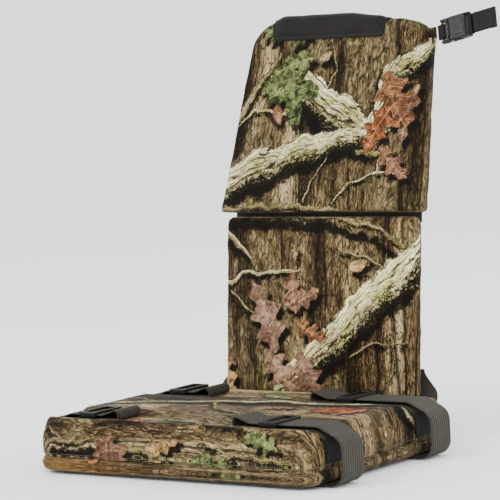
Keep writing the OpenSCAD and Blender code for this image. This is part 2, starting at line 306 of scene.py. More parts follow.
def place_points(obj: Piece, co: Array) -> None:
    """Write vertex places back to a mesh."""
    obj.data.vertices.foreach_set("co", np.ascontiguousarray(co, np.float32).ravel())
    obj.data.update()


def normals_of(obj: Piece) -> Array:
    """Vertex normals of a mesh."""
    values = np.empty(len(obj.data.vertices) * 3, np.float32)
    obj.data.vertex_normals.foreach_get("vector", values)
    return values.reshape(-1, 3).astype(np.float64)


def store(obj: Piece, name: str, values: Array) -> None:
    """Keep a vector for each vertex in an attribute that the materials read.

    Args:
        obj: Mesh object.
        name: Attribute name.
        values: One row of three numbers for each vertex.
    """
    attribute = obj.data.attributes.get(name) or obj.data.attributes.new(name, "FLOAT_VECTOR", "POINT")
    attribute.data.foreach_set("vector", np.ascontiguousarray(values, np.float32).ravel())


def triples(*columns: Array) -> Array:
    """Stack up to three columns into rows of three, filled with zeros."""
    filled = list(columns) + [np.zeros_like(columns[0])] * (3 - len(columns))
    return np.column_stack(filled)


def carried(obj: Piece, matrix: Matrix) -> Piece:
    """Move a mesh by a matrix, in its vertices."""
    obj.data.transform(matrix)
    obj.data.update()
    return obj


def ribbon(name: str, path: Array, width: float, across: int, thickness: float) -> Piece:
    """Lay a strip of cloth along a path in the XZ plane, with its width along Y.

    The strip keeps an attribute, weave, with metres along it, metres across it, and its half width.

    Args:
        name: Name of the strip.
        path: Points (x, z) in millimetres along the strip's middle surface.
        width: Width in millimetres.
        across: Faces across the width.
        thickness: Thickness in millimetres.

    Returns:
        The strip, centred on Y = 0.
    """
    count = len(path) - 1
    obj = added(name, bpy.ops.mesh.primitive_grid_add, x_subdivisions=count, y_subdivisions=across, size=2.0)
    flat = points_of(obj)
    station = np.rint((flat[:, 0] + 1.0) / 2.0 * count).astype(int)
    side = flat[:, 1]
    lengths = run_of(path)
    place_points(obj, np.column_stack([path[station, 0], side * width / 2, path[station, 1]]) * MM)
    half = np.full(len(flat), width / 2 * MM)
    store(obj, "weave", triples(lengths[station] * MM, side * half, half))
    modify(obj, "SOLIDIFY", thickness=thickness * MM, offset=0.0, use_even_offset=True)
    rim = 0.3 * thickness * MM
    modify(obj, "BEVEL", width=rim, segments=2, limit_method="ANGLE", angle_limit=math.radians(60))
    return soften(obj, 60)


def twin(obj: Piece, name: str) -> Piece:
    """Copy an object with its own mesh."""
    copy = obj.copy()
    copy.data = obj.data.copy()
    copy.name = copy.data.name = name
    SCENE.collection.objects.link(copy)
    return copy


def cut(obj: Piece, point: Sequence[float], normal: Sequence[float], fill: bool = False) -> None:
    """Cut away what lies beyond a plane.

    Args:
        obj: Mesh object.
        point: A point of the plane, in metres.
        normal: Direction of the side that goes.
        fill: Close the cut with a face.
    """
    edit_all(obj)
    bpy.ops.mesh.bisect(plane_co=point, plane_no=normal, clear_outer=True, use_fill=fill)
    leave_edit()


def skin_of(
    obj: Piece,
    name: str,
    planes: Iterable[tuple[Sequence[float], Sequence[float]]],
    lift: float,
    thickness: float,
) -> Piece:
    """Lay a piece of cloth on part of a pad.

    Args:
        obj: The pad.
        name: Name of the cloth.
        planes: Cuts that leave the part to cover, as point and outward normal.
        lift: Distance of the cloth's inner face from the pad, in metres.
        thickness: Thickness of the cloth in metres.

    Returns:
        The cloth.
    """
    cloth = twin(obj, name)
    for point, normal in planes:
        cut(cloth, point, normal)
    place_points(cloth, points_of(cloth) + normals_of(cloth) * lift)
    modify(cloth, "SOLIDIFY", thickness=thickness, offset=1.0, use_even_offset=False)
    return soften(cloth, 50)


def plump(
    obj: Piece,
    voxel: float,
    cap: Callable[[Array], Array],
    pressure: float = 4.0,
    frames: int = 20,
) -> Piece:
    """Fill a closed shape like a sewn pad, with cloth under pressure.

    Args:
        obj: Closed mesh, slightly smaller than the filled pad.
        voxel: Spacing of the even mesh in metres.
        cap: Farthest that each start point may move, in metres.
        pressure: Pressure of the filling.
        frames: Steps of the simulation.

    Returns:
        The same object, filled and subdivided once.
    """
    only(obj)
    obj.data.remesh_voxel_size = voxel
    bpy.ops.object.voxel_remesh()
    start = points_of(obj)
    limit = cap(start)[:, None]
    start = moved = start + normals_of(obj) * limit * 0.6
    place_points(obj, start)
    cloth = obj.modifiers.new("cloth", "CLOTH")
    filling = cloth.settings
    filling.quality = 4
    filling.mass = 0.3
    filling.tension_stiffness = filling.compression_stiffness = 12.0
    filling.bending_stiffness = 0.4
    filling.use_pressure = True
    filling.uniform_pressure_force = pressure
    filling.effector_weights.gravity = 0.0
    cloth.collision_settings.use_collision = False
    for step in range(1, frames + 1):
        SCENE.frame_set(step)
    filled = obj.evaluated_get(bpy.context.evaluated_depsgraph_get())
    moved = np.empty(len(filled.data.vertices) * 3)
    filled.data.vertices.foreach_get("co", moved)
    moved = moved.reshape(-1, 3)
    obj.modifiers.remove(cloth)
    SCENE.frame_set(1)
    step_taken = moved - start
    length = np.linalg.norm(step_taken, axis=1)[:, None]
    place_points(obj, start + step_taken * np.minimum(1.0, 0.4 * limit / np.maximum(length, 1e-9)))
    modify(obj, "SMOOTH", factor=0.5, iterations=2)
    modify(obj, "SUBSURF", levels=1, render_levels=1)
    return soften(obj, 80)


def ripple(co: Array, size: float, seed: float) -> Array:
    """A smooth wavering value from -1 to 1 at each point, from a few crossed waves.

    Args:
        co: Points in metres.
        size: Rough length of the waves in metres.
        seed: Shifts the waves.

    Returns:
        One number for each point.
    """
    p = co / size * 2.0 * math.pi
    a = np.sin(p @ np.array([0.83, 0.31, 0.47]) + seed)
    b = np.sin(p @ np.array([-0.41, 0.77, 0.88]) * 1.31 + 2.1 * seed)
    c = np.sin(p @ np.array([0.29, -0.64, 0.91]) * 1.93 + 3.7 * seed)
    return (a + 0.8 * b + 0.6 * c + a * b * c) / 3.0


def thread(name: str, spots: Array, along: Array, out: Array, length: float, radius: float) -> Piece:
    """Sew a row of stitches, each a small rounded thread of one mesh.

    Args:
        name: Name of the row.
        spots: Middle of each stitch, in metres.
        along: Unit direction of each stitch.
        out: Unit normal of the cloth at each stitch.
        length: Length of a stitch in metres.
        radius: Half its thickness in metres.

    Returns:
        The row of stitches.
    """
    seed = added("stitch", bpy.ops.mesh.primitive_uv_sphere_add, segments=6, ring_count=4, radius=1.0)
    unit = points_of(seed)
    faces = [tuple(p.vertices) for p in seed.data.polygons]
    bpy.data.objects.remove(seed, do_unlink=True)
    side = np.cross(out, along)
    side /= np.linalg.norm(side, axis=1)[:, None]
    lift = np.cross(along, side)
    co = (
        spots[:, None, :]
        + unit[None, :, 2:3] * along[:, None, :] * length / 2
        + unit[None, :, 0:1] * side[:, None, :] * radius
        + unit[None, :, 1:2] * lift[:, None, :] * radius
    ).reshape(-1, 3)
    mesh = bpy.data.meshes.new(name)
    count = len(unit)
    copies = [tuple(i + k * count for i in face) for k in range(len(spots)) for face in faces]
    mesh.from_pydata(co.tolist(), [], copies)
    obj = bpy.data.objects.new(name, mesh)
    SCENE.collection.objects.link(obj)
    edit_all(obj)
    bpy.ops.mesh.normals_make_consistent(inside=False)
    leave_edit()
    return soften(obj, 80)


def evenly(line: Array, pitch: float) -> tuple[Array, Array]:
    """Spots and directions along a polyline, one pitch apart.

    Args:
        line: Points in metres.
        pitch: Distance between spots in metres.

    Returns:
        The spots and the unit directions there.
    """
    lengths = run_of(line)
    at = np.arange(pitch / 2, lengths[-1], pitch)
    spots = np.column_stack([np.interp(at, lengths, line[:, k]) for k in range(3)])
    which = np.clip(np.searchsorted(lengths, at) - 1, 0, len(line) - 2)
    way = line[which + 1] - line[which]
    return spots, way / np.linalg.norm(way, axis=1)[:, None]


def sewn_on(pad: Piece, name: str, lines: Sequence[Array], pitch: float, radius: float) -> Piece:
    """Sew rows of stitches on a pad's surface, along lines near it.

    Args:
        pad: The pad, with its place in its mesh.
        name: Name of the stitches.
        lines: Polylines in metres near the pad's surface.
        pitch: Distance between stitches in metres.
        radius: Half the thread's thickness in metres.

    Returns:
        The stitches.
    """
    spots, ways, outs = [], [], []
    for line in lines:
        for spot, way in zip(*evenly(line, pitch)):
            hit, place, normal, _ = pad.closest_point_on_mesh(Vector(spot))
            if hit:
                spots.append(np.array(place + normal * radius * 0.35))
                ways.append(way - np.array(normal) * float(way @ np.array(normal)))
                outs.append(np.array(normal))
    along = np.array(ways)
    along /= np.linalg.norm(along, axis=1)[:, None]
    return thread(name, np.array(spots), along, np.array(outs), pitch * 0.72, radius)


# ---- printed woodland


class LeafKind(Enum):
    """Outline of a printed leaf."""

    OAK = "oak"
    STAR = "star"
    OVAL = "oval"


OAK, STAR, OVAL = LeafKind


@dataclass(frozen=True)
class Branch:
    """A printed branch: its middle line and half widths, in millimetres on the flat cloth."""

    line: tuple[tuple[float, float], ...]
    half: tuple[float, ...]
    pale: float = 1.0
    knots: float = 1.0

    def measure(self, uv: Array) -> tuple[Array, Array, Array]:
        """Distance outside the branch, place across it from -1 to 1, and place along it.

        Args:
            uv: Places on the flat cloth.

        Returns:
            The three values for each place.
        """
        best = np.full(len(uv), 1e9)
        across, along, run = np.zeros(len(uv)), np.zeros(len(uv)), 0.0
        for a, b, ra, rb in zip(self.line, self.line[1:], self.half, self.half[1:]):
            a, b = np.array(a, float), np.array(b, float)
            length = np.linalg.norm(b - a)
            way = (b - a) / length
            rel = uv - a
            t = np.clip(rel @ way, 0.0, length)
            off = rel - t[:, None] * way
            side = rel[:, 1] * way[0] - rel[:, 0] * way[1]
            half = ra + (rb - ra) * t / length
            walked = run + t
            half = half * (1.0 + 0.1 * self.knots * np.sin(walked / 13.0) + 0.05 * np.sin(walked / 4.7 + 1.0))
            d = np.linalg.norm(off, axis=1) - half
            near = d < best
            best = np.where(near, d, best)
            upright = 1.0 if way[0] >= 0 else -1.0
            across = np.where(near, upright * side / half, across)
            along = np.where(near, run + t, along)
            run += length
        return best, across, along


@dataclass(frozen=True)
class Leaf:
    """A printed leaf: its stalk end, direction in degrees, length and width in millimetres, and hue."""

    kind: LeafKind
    at: tuple[float, float]
    turn: float
    length: float
    width: float
    hue: float

    def measure(self, uv: Array) -> tuple[Array, Array]:
        """Distance outside the leaf and distance from its nearest vein, in millimetres.

        Args:
            uv: Places on the flat cloth.

        Returns:
            The two values for each place.
        """
        angle = math.radians(self.turn)
        rel = uv - np.array(self.at)
        a = rel[:, 0] * math.cos(angle) + rel[:, 1] * math.sin(angle)
        b = -rel[:, 0] * math.sin(angle) + rel[:, 1] * math.cos(angle)
        b = b + 0.06 * self.length * np.sin(a / self.length * 3.0)
        if self.kind is STAR:
            x, y = a - 0.36 * self.length, b * self.length / self.width
            radius, way = np.hypot(x, y), np.arctan2(y, x)
            lobe = np.abs(np.cos(2.5 * way))
            teeth = 0.05 * np.abs(np.sin(12.5 * way))
            edge = self.length * (0.26 + 0.36 * lobe**1.6 + teeth) * (0.8 + 0.2 * np.cos(way))
            spoke = np.abs(np.sin(2.5 * way)) / 2.5 * radius
            return (radius - edge) * 0.75, spoke
        t = np.clip(a / self.length, 0.0, 1.0)
        lobes = 0.3 * np.cos(2.0 * math.pi * 3.6 * t) if self.kind is OAK else 0.03 * np.cos(60.0 * t)
        half = self.width / 2 * np.sin(math.pi * t**0.85) ** 0.75 * (0.78 + lobes)
        beyond = np.maximum(np.maximum(-a, a - self.length), 0.0)
        side_veins = np.abs((a - 0.75 * np.abs(b)) / (self.length / 7.0) % 1.0 - 0.5) * self.length / 7.0
        outside = np.abs(b) - half
        return np.hypot(outside, beyond) * np.sign(outside + beyond), np.minimum(np.abs(b), side_veins)


@dataclass(frozen=True)
class Design:
    """The pattern printed on one panel, in millimetres on the flat cloth."""

    branches: tuple[Branch, ...]
    twigs: tuple[Branch, ...]
    leaves: tuple[Leaf, ...]
    seed: float
    lying: bool = False

    def print_on(self, obj: Piece, uv: Array) -> None:
        """Keep the pattern's values on a mesh, for the printed cloth to read.

        Args:
            obj: Mesh object.
            uv: Place on the flat cloth of each vertex, in millimetres.
        """
        waver = np.column_stack([
            2.0 * np.sin(uv[:, 1] / 11.0 + self.seed) + 1.1 * np.sin(uv[:, 1] / 4.3 + uv[:, 0] / 9.0),
            2.0 * np.sin(uv[:, 0] / 12.0 + 2.0 * self.seed) + 1.1 * np.sin(uv[:, 0] / 4.9 - uv[:, 1] / 8.0),
        ])
        wavy = uv + waver
        d, across, along, pale = self.nearest(self.branches, wavy)
        twig, twig_across, _, twig_pale = self.nearest(self.twigs, wavy)
        shadow = np.minimum(self.nearest(self.branches, wavy + [6.0, 17.0])[0],
                            self.nearest(self.twigs, wavy + [3.0, 5.0])[0])
        leaf, vein, hue = np.full(len(uv), 99.0), np.full(len(uv), 99.0), np.zeros(len(uv))
        for one in self.leaves:
            e, v = one.measure(uv)
            over = e < 0
            shadow = np.minimum(shadow, one.measure(uv + [-6.0, 9.0])[0])
            take = over | (e < leaf)
            pairs = ((e, leaf), (v, vein), (one.hue, hue))
            leaf, vein, hue = (np.where(take, new, old) for new, old in pairs)
        flat = uv[:, ::-1] if self.lying else uv
        store(obj, "cloth", triples(flat[:, 0] * MM, flat[:, 1] * MM, np.full(len(uv), self.seed)))
        store(obj, "branch", triples(d * MM, across, along * MM))
        store(obj, "twig", triples(twig * MM, twig_across, twig_pale))
        store(obj, "leaf", triples(leaf * MM, vein * MM, hue))
        store(obj, "shade", triples(shadow * MM, pale, np.zeros(len(uv))))

    @staticmethod
    def nearest(group: Sequence[Branch], uv: Array) -> tuple[Array, Array, Array, Array]:
        """Values of the nearest branch of a group: distance, across, along and paleness."""
        best, across, along, pale = np.full(len(uv), 99.0), *(np.zeros(len(uv)) for _ in range(3))
        for one in group:
            d, x, s = one.measure(uv)
            near = d < best
            pairs = ((d, best), (x, across), (s, along), (one.pale, pale))
            best, across, along, pale = (np.where(near, new, old) for new, old in pairs)
        return best, across, along, pale


LOWER_DESIGN = Design(
    branches=(
        Branch(((-62, 8), (-24, 44), (31, 82), (92, 140), (190, 212)), (14, 20, 25, 27, 26)),
        Branch(((-190, 258), (-110, 266), (-38, 264), (40, 258), (110, 238), (180, 198)),
               (8, 8, 8, 6, 5, 4), 0.3),
    ),
    twigs=(
        Branch(((-172, 168), (-150, 160), (-128, 178), (-52, 178), (-28, 184)),
               (3.2, 3.2, 3.4, 3.0, 1.8), 0.7),
        Branch(((-166, 240), (-140, 218), (-112, 200)), (5.0, 4.5, 2.5), 0.5),
        Branch(((40, 214), (90, 198), (150, 168), (178, 160)), (1.6, 2.0, 1.6, 1.2), 0.35),
        Branch(((60, 60), (96, 78), (150, 82)), (1.6, 1.8, 1.2), 0.3),
        Branch(((-150, 150), (-118, 122), (-96, 118)), (1.6, 1.8, 1.2), 0.4),
        Branch(((118, 20), (134, 60), (128, 100)), (1.5, 1.5, 1.0), 0.25),
    ),
    leaves=(
        Leaf(OAK, (-54, 132), 22, 66, 34, 0.8), Leaf(OAK, (-40, 180), -82, 62, 36, 0.78),
        Leaf(OAK, (-70, 62), 112, 112, 58, 0.94), Leaf(OAK, (-34, 108), -22, 60, 30, 0.66),
        Leaf(OAK, (-30, 64), -62, 74, 54, 0.92), Leaf(OAK, (-84, 66), -50, 78, 46, 0.98),
        Leaf(OAK, (-60, 26), -20, 60, 36, 0.8), Leaf(OAK, (-172, 66), -68, 84, 44, 0.46),
        Leaf(OVAL, (-36, 196), 96, 26, 12, 0.86), Leaf(OVAL, (56, 186), 20, 34, 24, 0.42),
    ),
    seed=1.7,
)

UPPER_DESIGN = Design(
    branches=(
        Branch(((-196, 26), (-111, 62), (-31, 88), (36, 106), (100, 118)), (26, 26, 20, 19, 18)),
        Branch(((-58, 190), (-30, 172), (20, 140), (66, 118)), (17, 26, 27, 20)),
        Branch(((82, 104), (92, 150), (106, 196), (176, 246)), (18, 15, 19, 14), 0.95),
        Branch(((-176, 118), (-150, 150), (-110, 206), (-92, 236)), (6, 8, 6, 3), 0.5),
        Branch(((-190, -2), (-100, 4), (10, 0), (60, -8), (178, -10)), (6, 7, 6, 4, 4), 0.3),
    ),
    twigs=(
        Branch(((-160, 128), (-130, 146), (-96, 146), (-72, 142), (-54, 146)),
               (2.0, 3.0, 2.6, 2.4, 1.4), 0.75),
        Branch(((22, 6), (58, 40), (96, 52), (128, 50)), (1.2, 1.8, 2.0, 1.2), 0.8),
        Branch(((96, 52), (98, 84)), (1.4, 1.4), 0.7),
        Branch(((-10, 160), (6, 206), (-6, 260)), (1.8, 1.4, 1.0), 0.5),
        Branch(((-26, 12), (8, 78)), (1.2, 1.2), 0.7), Branch(((60, 84), (110, 76)), (5.0, 5.0), 0.3),
    ),
    leaves=(
        Leaf(OAK, (148, 182), -100, 92, 30, 0.8), Leaf(OAK, (94, 200), -62, 96, 66, 0.68),
        Leaf(OAK, (112, 152), -118, 84, 44, 0.62), Leaf(OAK, (96, 92), -42, 72, 34, 0.74),
        Leaf(STAR, (-62, 222), -84, 98, 84, 0.06), Leaf(OAK, (-30, 226), 200, 84, 34, 0.12),
        Leaf(OAK, (-58, 196), 196, 66, 36, 0.2), Leaf(OAK, (-74, 242), 60, 54, 30, 0.04),
        Leaf(OAK, (-96, 254), 150, 52, 30, 0.02), Leaf(OVAL, (-24, 222), 30, 24, 18, 0.9),
        Leaf(OVAL, (-90, 158), -70, 34, 22, 0.66),
    ),
    seed=4.1,
)

SEAT_DESIGN = Design(
    branches=(
        Branch(((-250, -40), (-150, -2), (-60, 20), (40, 44), (130, 40), (260, 84)),
               (5, 8, 10, 9, 8, 6), 0.95),
        Branch(((-250, 80), (-160, 96), (-60, 106), (20, 144), (90, 190)), (5, 6, 6, 5, 4), 0.6),
        Branch(((-250, -208), (-120, -196), (20, -222), (130, -206), (260, -226)), (5, 6, 7, 6, 5), 0.35),
    ),
    twigs=(
        Branch(((-200, -140), (-90, -124), (30, -148), (150, -172)), (2.0, 3.0, 3.0, 2.0), 0.35),
        Branch(((-60, 26), (-30, -30), (40, -60), (120, -66)), (3.4, 2.6, 2.2, 1.4), 0.35),
        Branch(((40, 58), (60, 104), (130, 128)), (2.6, 2.0, 1.4), 0.3),
        Branch(((-210, -176), (-170, -206), (-120, -184)), (2.0, 2.4, 2.0), 0.3),
        Branch(((60, -186), (160, -240), (250, -260)), (2.0, 2.2, 1.6), 0.5),
        Branch(((-250, 10), (-196, 20), (-120, -6)), (2.0, 2.4, 1.4), 0.6),
    ),
    leaves=(
        Leaf(STAR, (120, -16), 20, 62, 50, 0.55), Leaf(OAK, (150, 24), -50, 66, 34, 0.56),
        Leaf(OAK, (176, -34), 80, 62, 30, 0.58), Leaf(OAK, (96, 0), 200, 52, 26, 0.74),
        Leaf(STAR, (-70, -120), 200, 54, 48, 0.5), Leaf(OAK, (-60, 132), 10, 92, 34, 0.12),
        Leaf(OAK, (-30, 100), -20, 68, 30, 0.2), Leaf(OAK, (-120, 76), 20, 62, 30, 0.72),
        Leaf(STAR, (-126, -206), 0, 60, 52, 0.8), Leaf(OAK, (40, -214), -10, 92, 40, 0.14),
        Leaf(OAK, (180, -196), 160, 66, 34, 0.16), Leaf(OAK, (-40, -206), 20, 66, 30, 0.44),
    ),
    seed=7.3,
    lying=True,
)


# ---- finishes


class Nodes:
    """The node tree of one material, with short ways to add nodes and join them."""

    def __init__(self, name: str) -> None:
        """Start a material with only its surface shader."""
        self.material = bpy.data.materials.new(name)
        self.material.use_nodes = True
        self.tree = self.material.node_tree
        self.tree.nodes.clear()
        self.shader = self.put("BsdfPrincipled")
        out = self.put("OutputMaterial")
        self.tree.links.new(self.shader.outputs[0], out.inputs[0])

    def put(self, kind: str, **settings: object) -> bpy.types.Node:
        """Add a node and set its properties."""
        node = self.tree.nodes.new("ShaderNode" + kind)
        for key, value in settings.items():
            setattr(node, key, value)
        return node

    def feed(self, socket: Socket, value: Value) -> None:
        """Join a value to a socket, or set it there."""
        if isinstance(value, Socket):
            self.tree.links.new(value, socket)
        elif isinstance(value, tuple) and socket.type == "RGBA":
            socket.default_value = (*value, 1.0)
        else:
            socket.default_value = value

    def math(self, operation: str, a: Value, b: Value = 0.0) -> Socket:
        """Combine two numbers."""
        node = self.put("Math", operation=operation)
        self.feed(node.inputs[0], a)
        self.feed(node.inputs[1], b)
        return node.outputs[0]

    def plus(self, a: Value, b: Value) -> Socket:
        """Add two numbers."""
        return self.math("ADD", a, b)

    def times(self, a: Value, b: Value) -> Socket:
        """Multiply two numbers."""
        return self.math("MULTIPLY", a, b)

    def sine(self, a: Value) -> Socket:
        """Sine of a number."""
        return self.math("SINE", a)

    def shaken(self, value: Socket, noise: Socket, depth: float) -> Socket:
        """A number moved up and down by a noise."""
        return self.plus(value, self.times(self.math("SUBTRACT", noise, 0.5), depth))

    def tinted(self, colour: Socket, tint: Value) -> Socket:
        """A colour multiplied by another."""
        return self.mix(1.0, colour, tint, "MULTIPLY")

    def band(self, value: Value, low: float, high: float, start: float = 0.0, end: float = 1.0) -> Socket:
        """Rise smoothly from start at low to end at high."""
        node = self.put("MapRange", interpolation_type="SMOOTHSTEP")
        for socket, number in zip(node.inputs, (value, low, high, start, end)):
            self.feed(socket, number)
        return node.outputs[0]

    def mix(self, factor: Value, a: Value, b: Value, blend: str = "MIX") -> Socket:
        """Mix two colours."""
        node = self.put("Mix", data_type="RGBA", blend_type=blend, clamp_factor=True)
        for index, value in ((0, factor), (6, a), (7, b)):
            self.feed(node.inputs[index], value)
        return node.outputs[2]

    def ramp(self, factor: Value, stops: Sequence[tuple[float, Colour]]) -> Socket:
        """Turn a number into a colour between stops."""
        node = self.put("ValToRGB")
        ramp = node.color_ramp
        while len(ramp.elements) < len(stops):
            ramp.elements.new(0.5)
        for element, (place, colour) in zip(ramp.elements, stops):
            element.position = place
            element.color = (*colour, 1.0)
        self.feed(node.inputs[0], factor)
        return node.outputs[0]

    def split(self, vector: Socket) -> tuple[Socket, Socket, Socket]:
        """The three numbers of a vector."""
        node = self.put("SeparateXYZ")
        self.feed(node.inputs[0], vector)
        return tuple(node.outputs)

    def vector(self, x: Value, y: Value, z: Value = 0.0) -> Socket:
        """A vector from three numbers."""
        node = self.put("CombineXYZ")
        for socket, value in zip(node.inputs, (x, y, z)):
            self.feed(socket, value)
        return node.outputs[0]

    def scaled(self, vector: Socket, scale: Colour) -> Socket:
        """A vector stretched along its axes."""
        node = self.put("Mapping", vector_type="POINT")
        self.feed(node.inputs["Vector"], vector)
        node.inputs["Scale"].default_value = scale
        return node.outputs[0]

    def attribute(self, name: str) -> Socket:
        """A vector that the mesh keeps for each point."""
        return self.put("Attribute", attribute_name=name).outputs["Vector"]

    def place(self) -> Socket:
        """Place on the object, in metres."""
        return self.put("TexCoord").outputs["Object"]

    def noise(self, vector: Socket, scale: float, detail: float = 3.0, rough: float = 0.55,
              warp: float = 0.0) -> Socket:
        """Cloudy values about a half."""
        node = self.put("TexNoise")
        for key, value in (("Vector", vector), ("Scale", scale), ("Detail", detail), ("Roughness", rough),
                           ("Distortion", warp)):
            self.feed(node.inputs[key], value)
        return node.outputs["Fac"]

    def grain(self, vector: Socket, stretch: Colour, detail: float, rough: float = 0.55,
              warp: float = 0.0) -> Socket:
        """Cloudy values, finer along some axes than along others."""
        return self.noise(self.scaled(vector, stretch), 1.0, detail, rough, warp)

    def cells(self, vector: Socket, scale: float, feature: str = "DISTANCE_TO_EDGE") -> Socket:
        """Distance within a pattern of cells."""
        node = self.put("TexVoronoi", feature=feature)
        self.feed(node.inputs["Vector"], vector)
        self.feed(node.inputs["Scale"], scale)
        return node.outputs["Distance"]

    def raise_by(self, height: Value, depth: float, strength: float = 1.0) -> None:
        """Raise the surface by a height pattern, on top of any raised before."""
        node = self.put("Bump")
        self.feed(node.inputs["Height"], height)
        node.inputs["Distance"].default_value = depth
        node.inputs["Strength"].default_value = strength
        normal = self.shader.inputs["Normal"]
        if normal.is_linked:
            self.feed(node.inputs["Normal"], normal.links[0].from_socket)
        self.feed(normal, node.outputs[0])

    def set(self, **values: Value) -> None:
        """Set the shader's sockets by name, with underscores for spaces."""
        for key, value in values.items():
            self.feed(self.shader.inputs[key.replace("_", " ")], value)


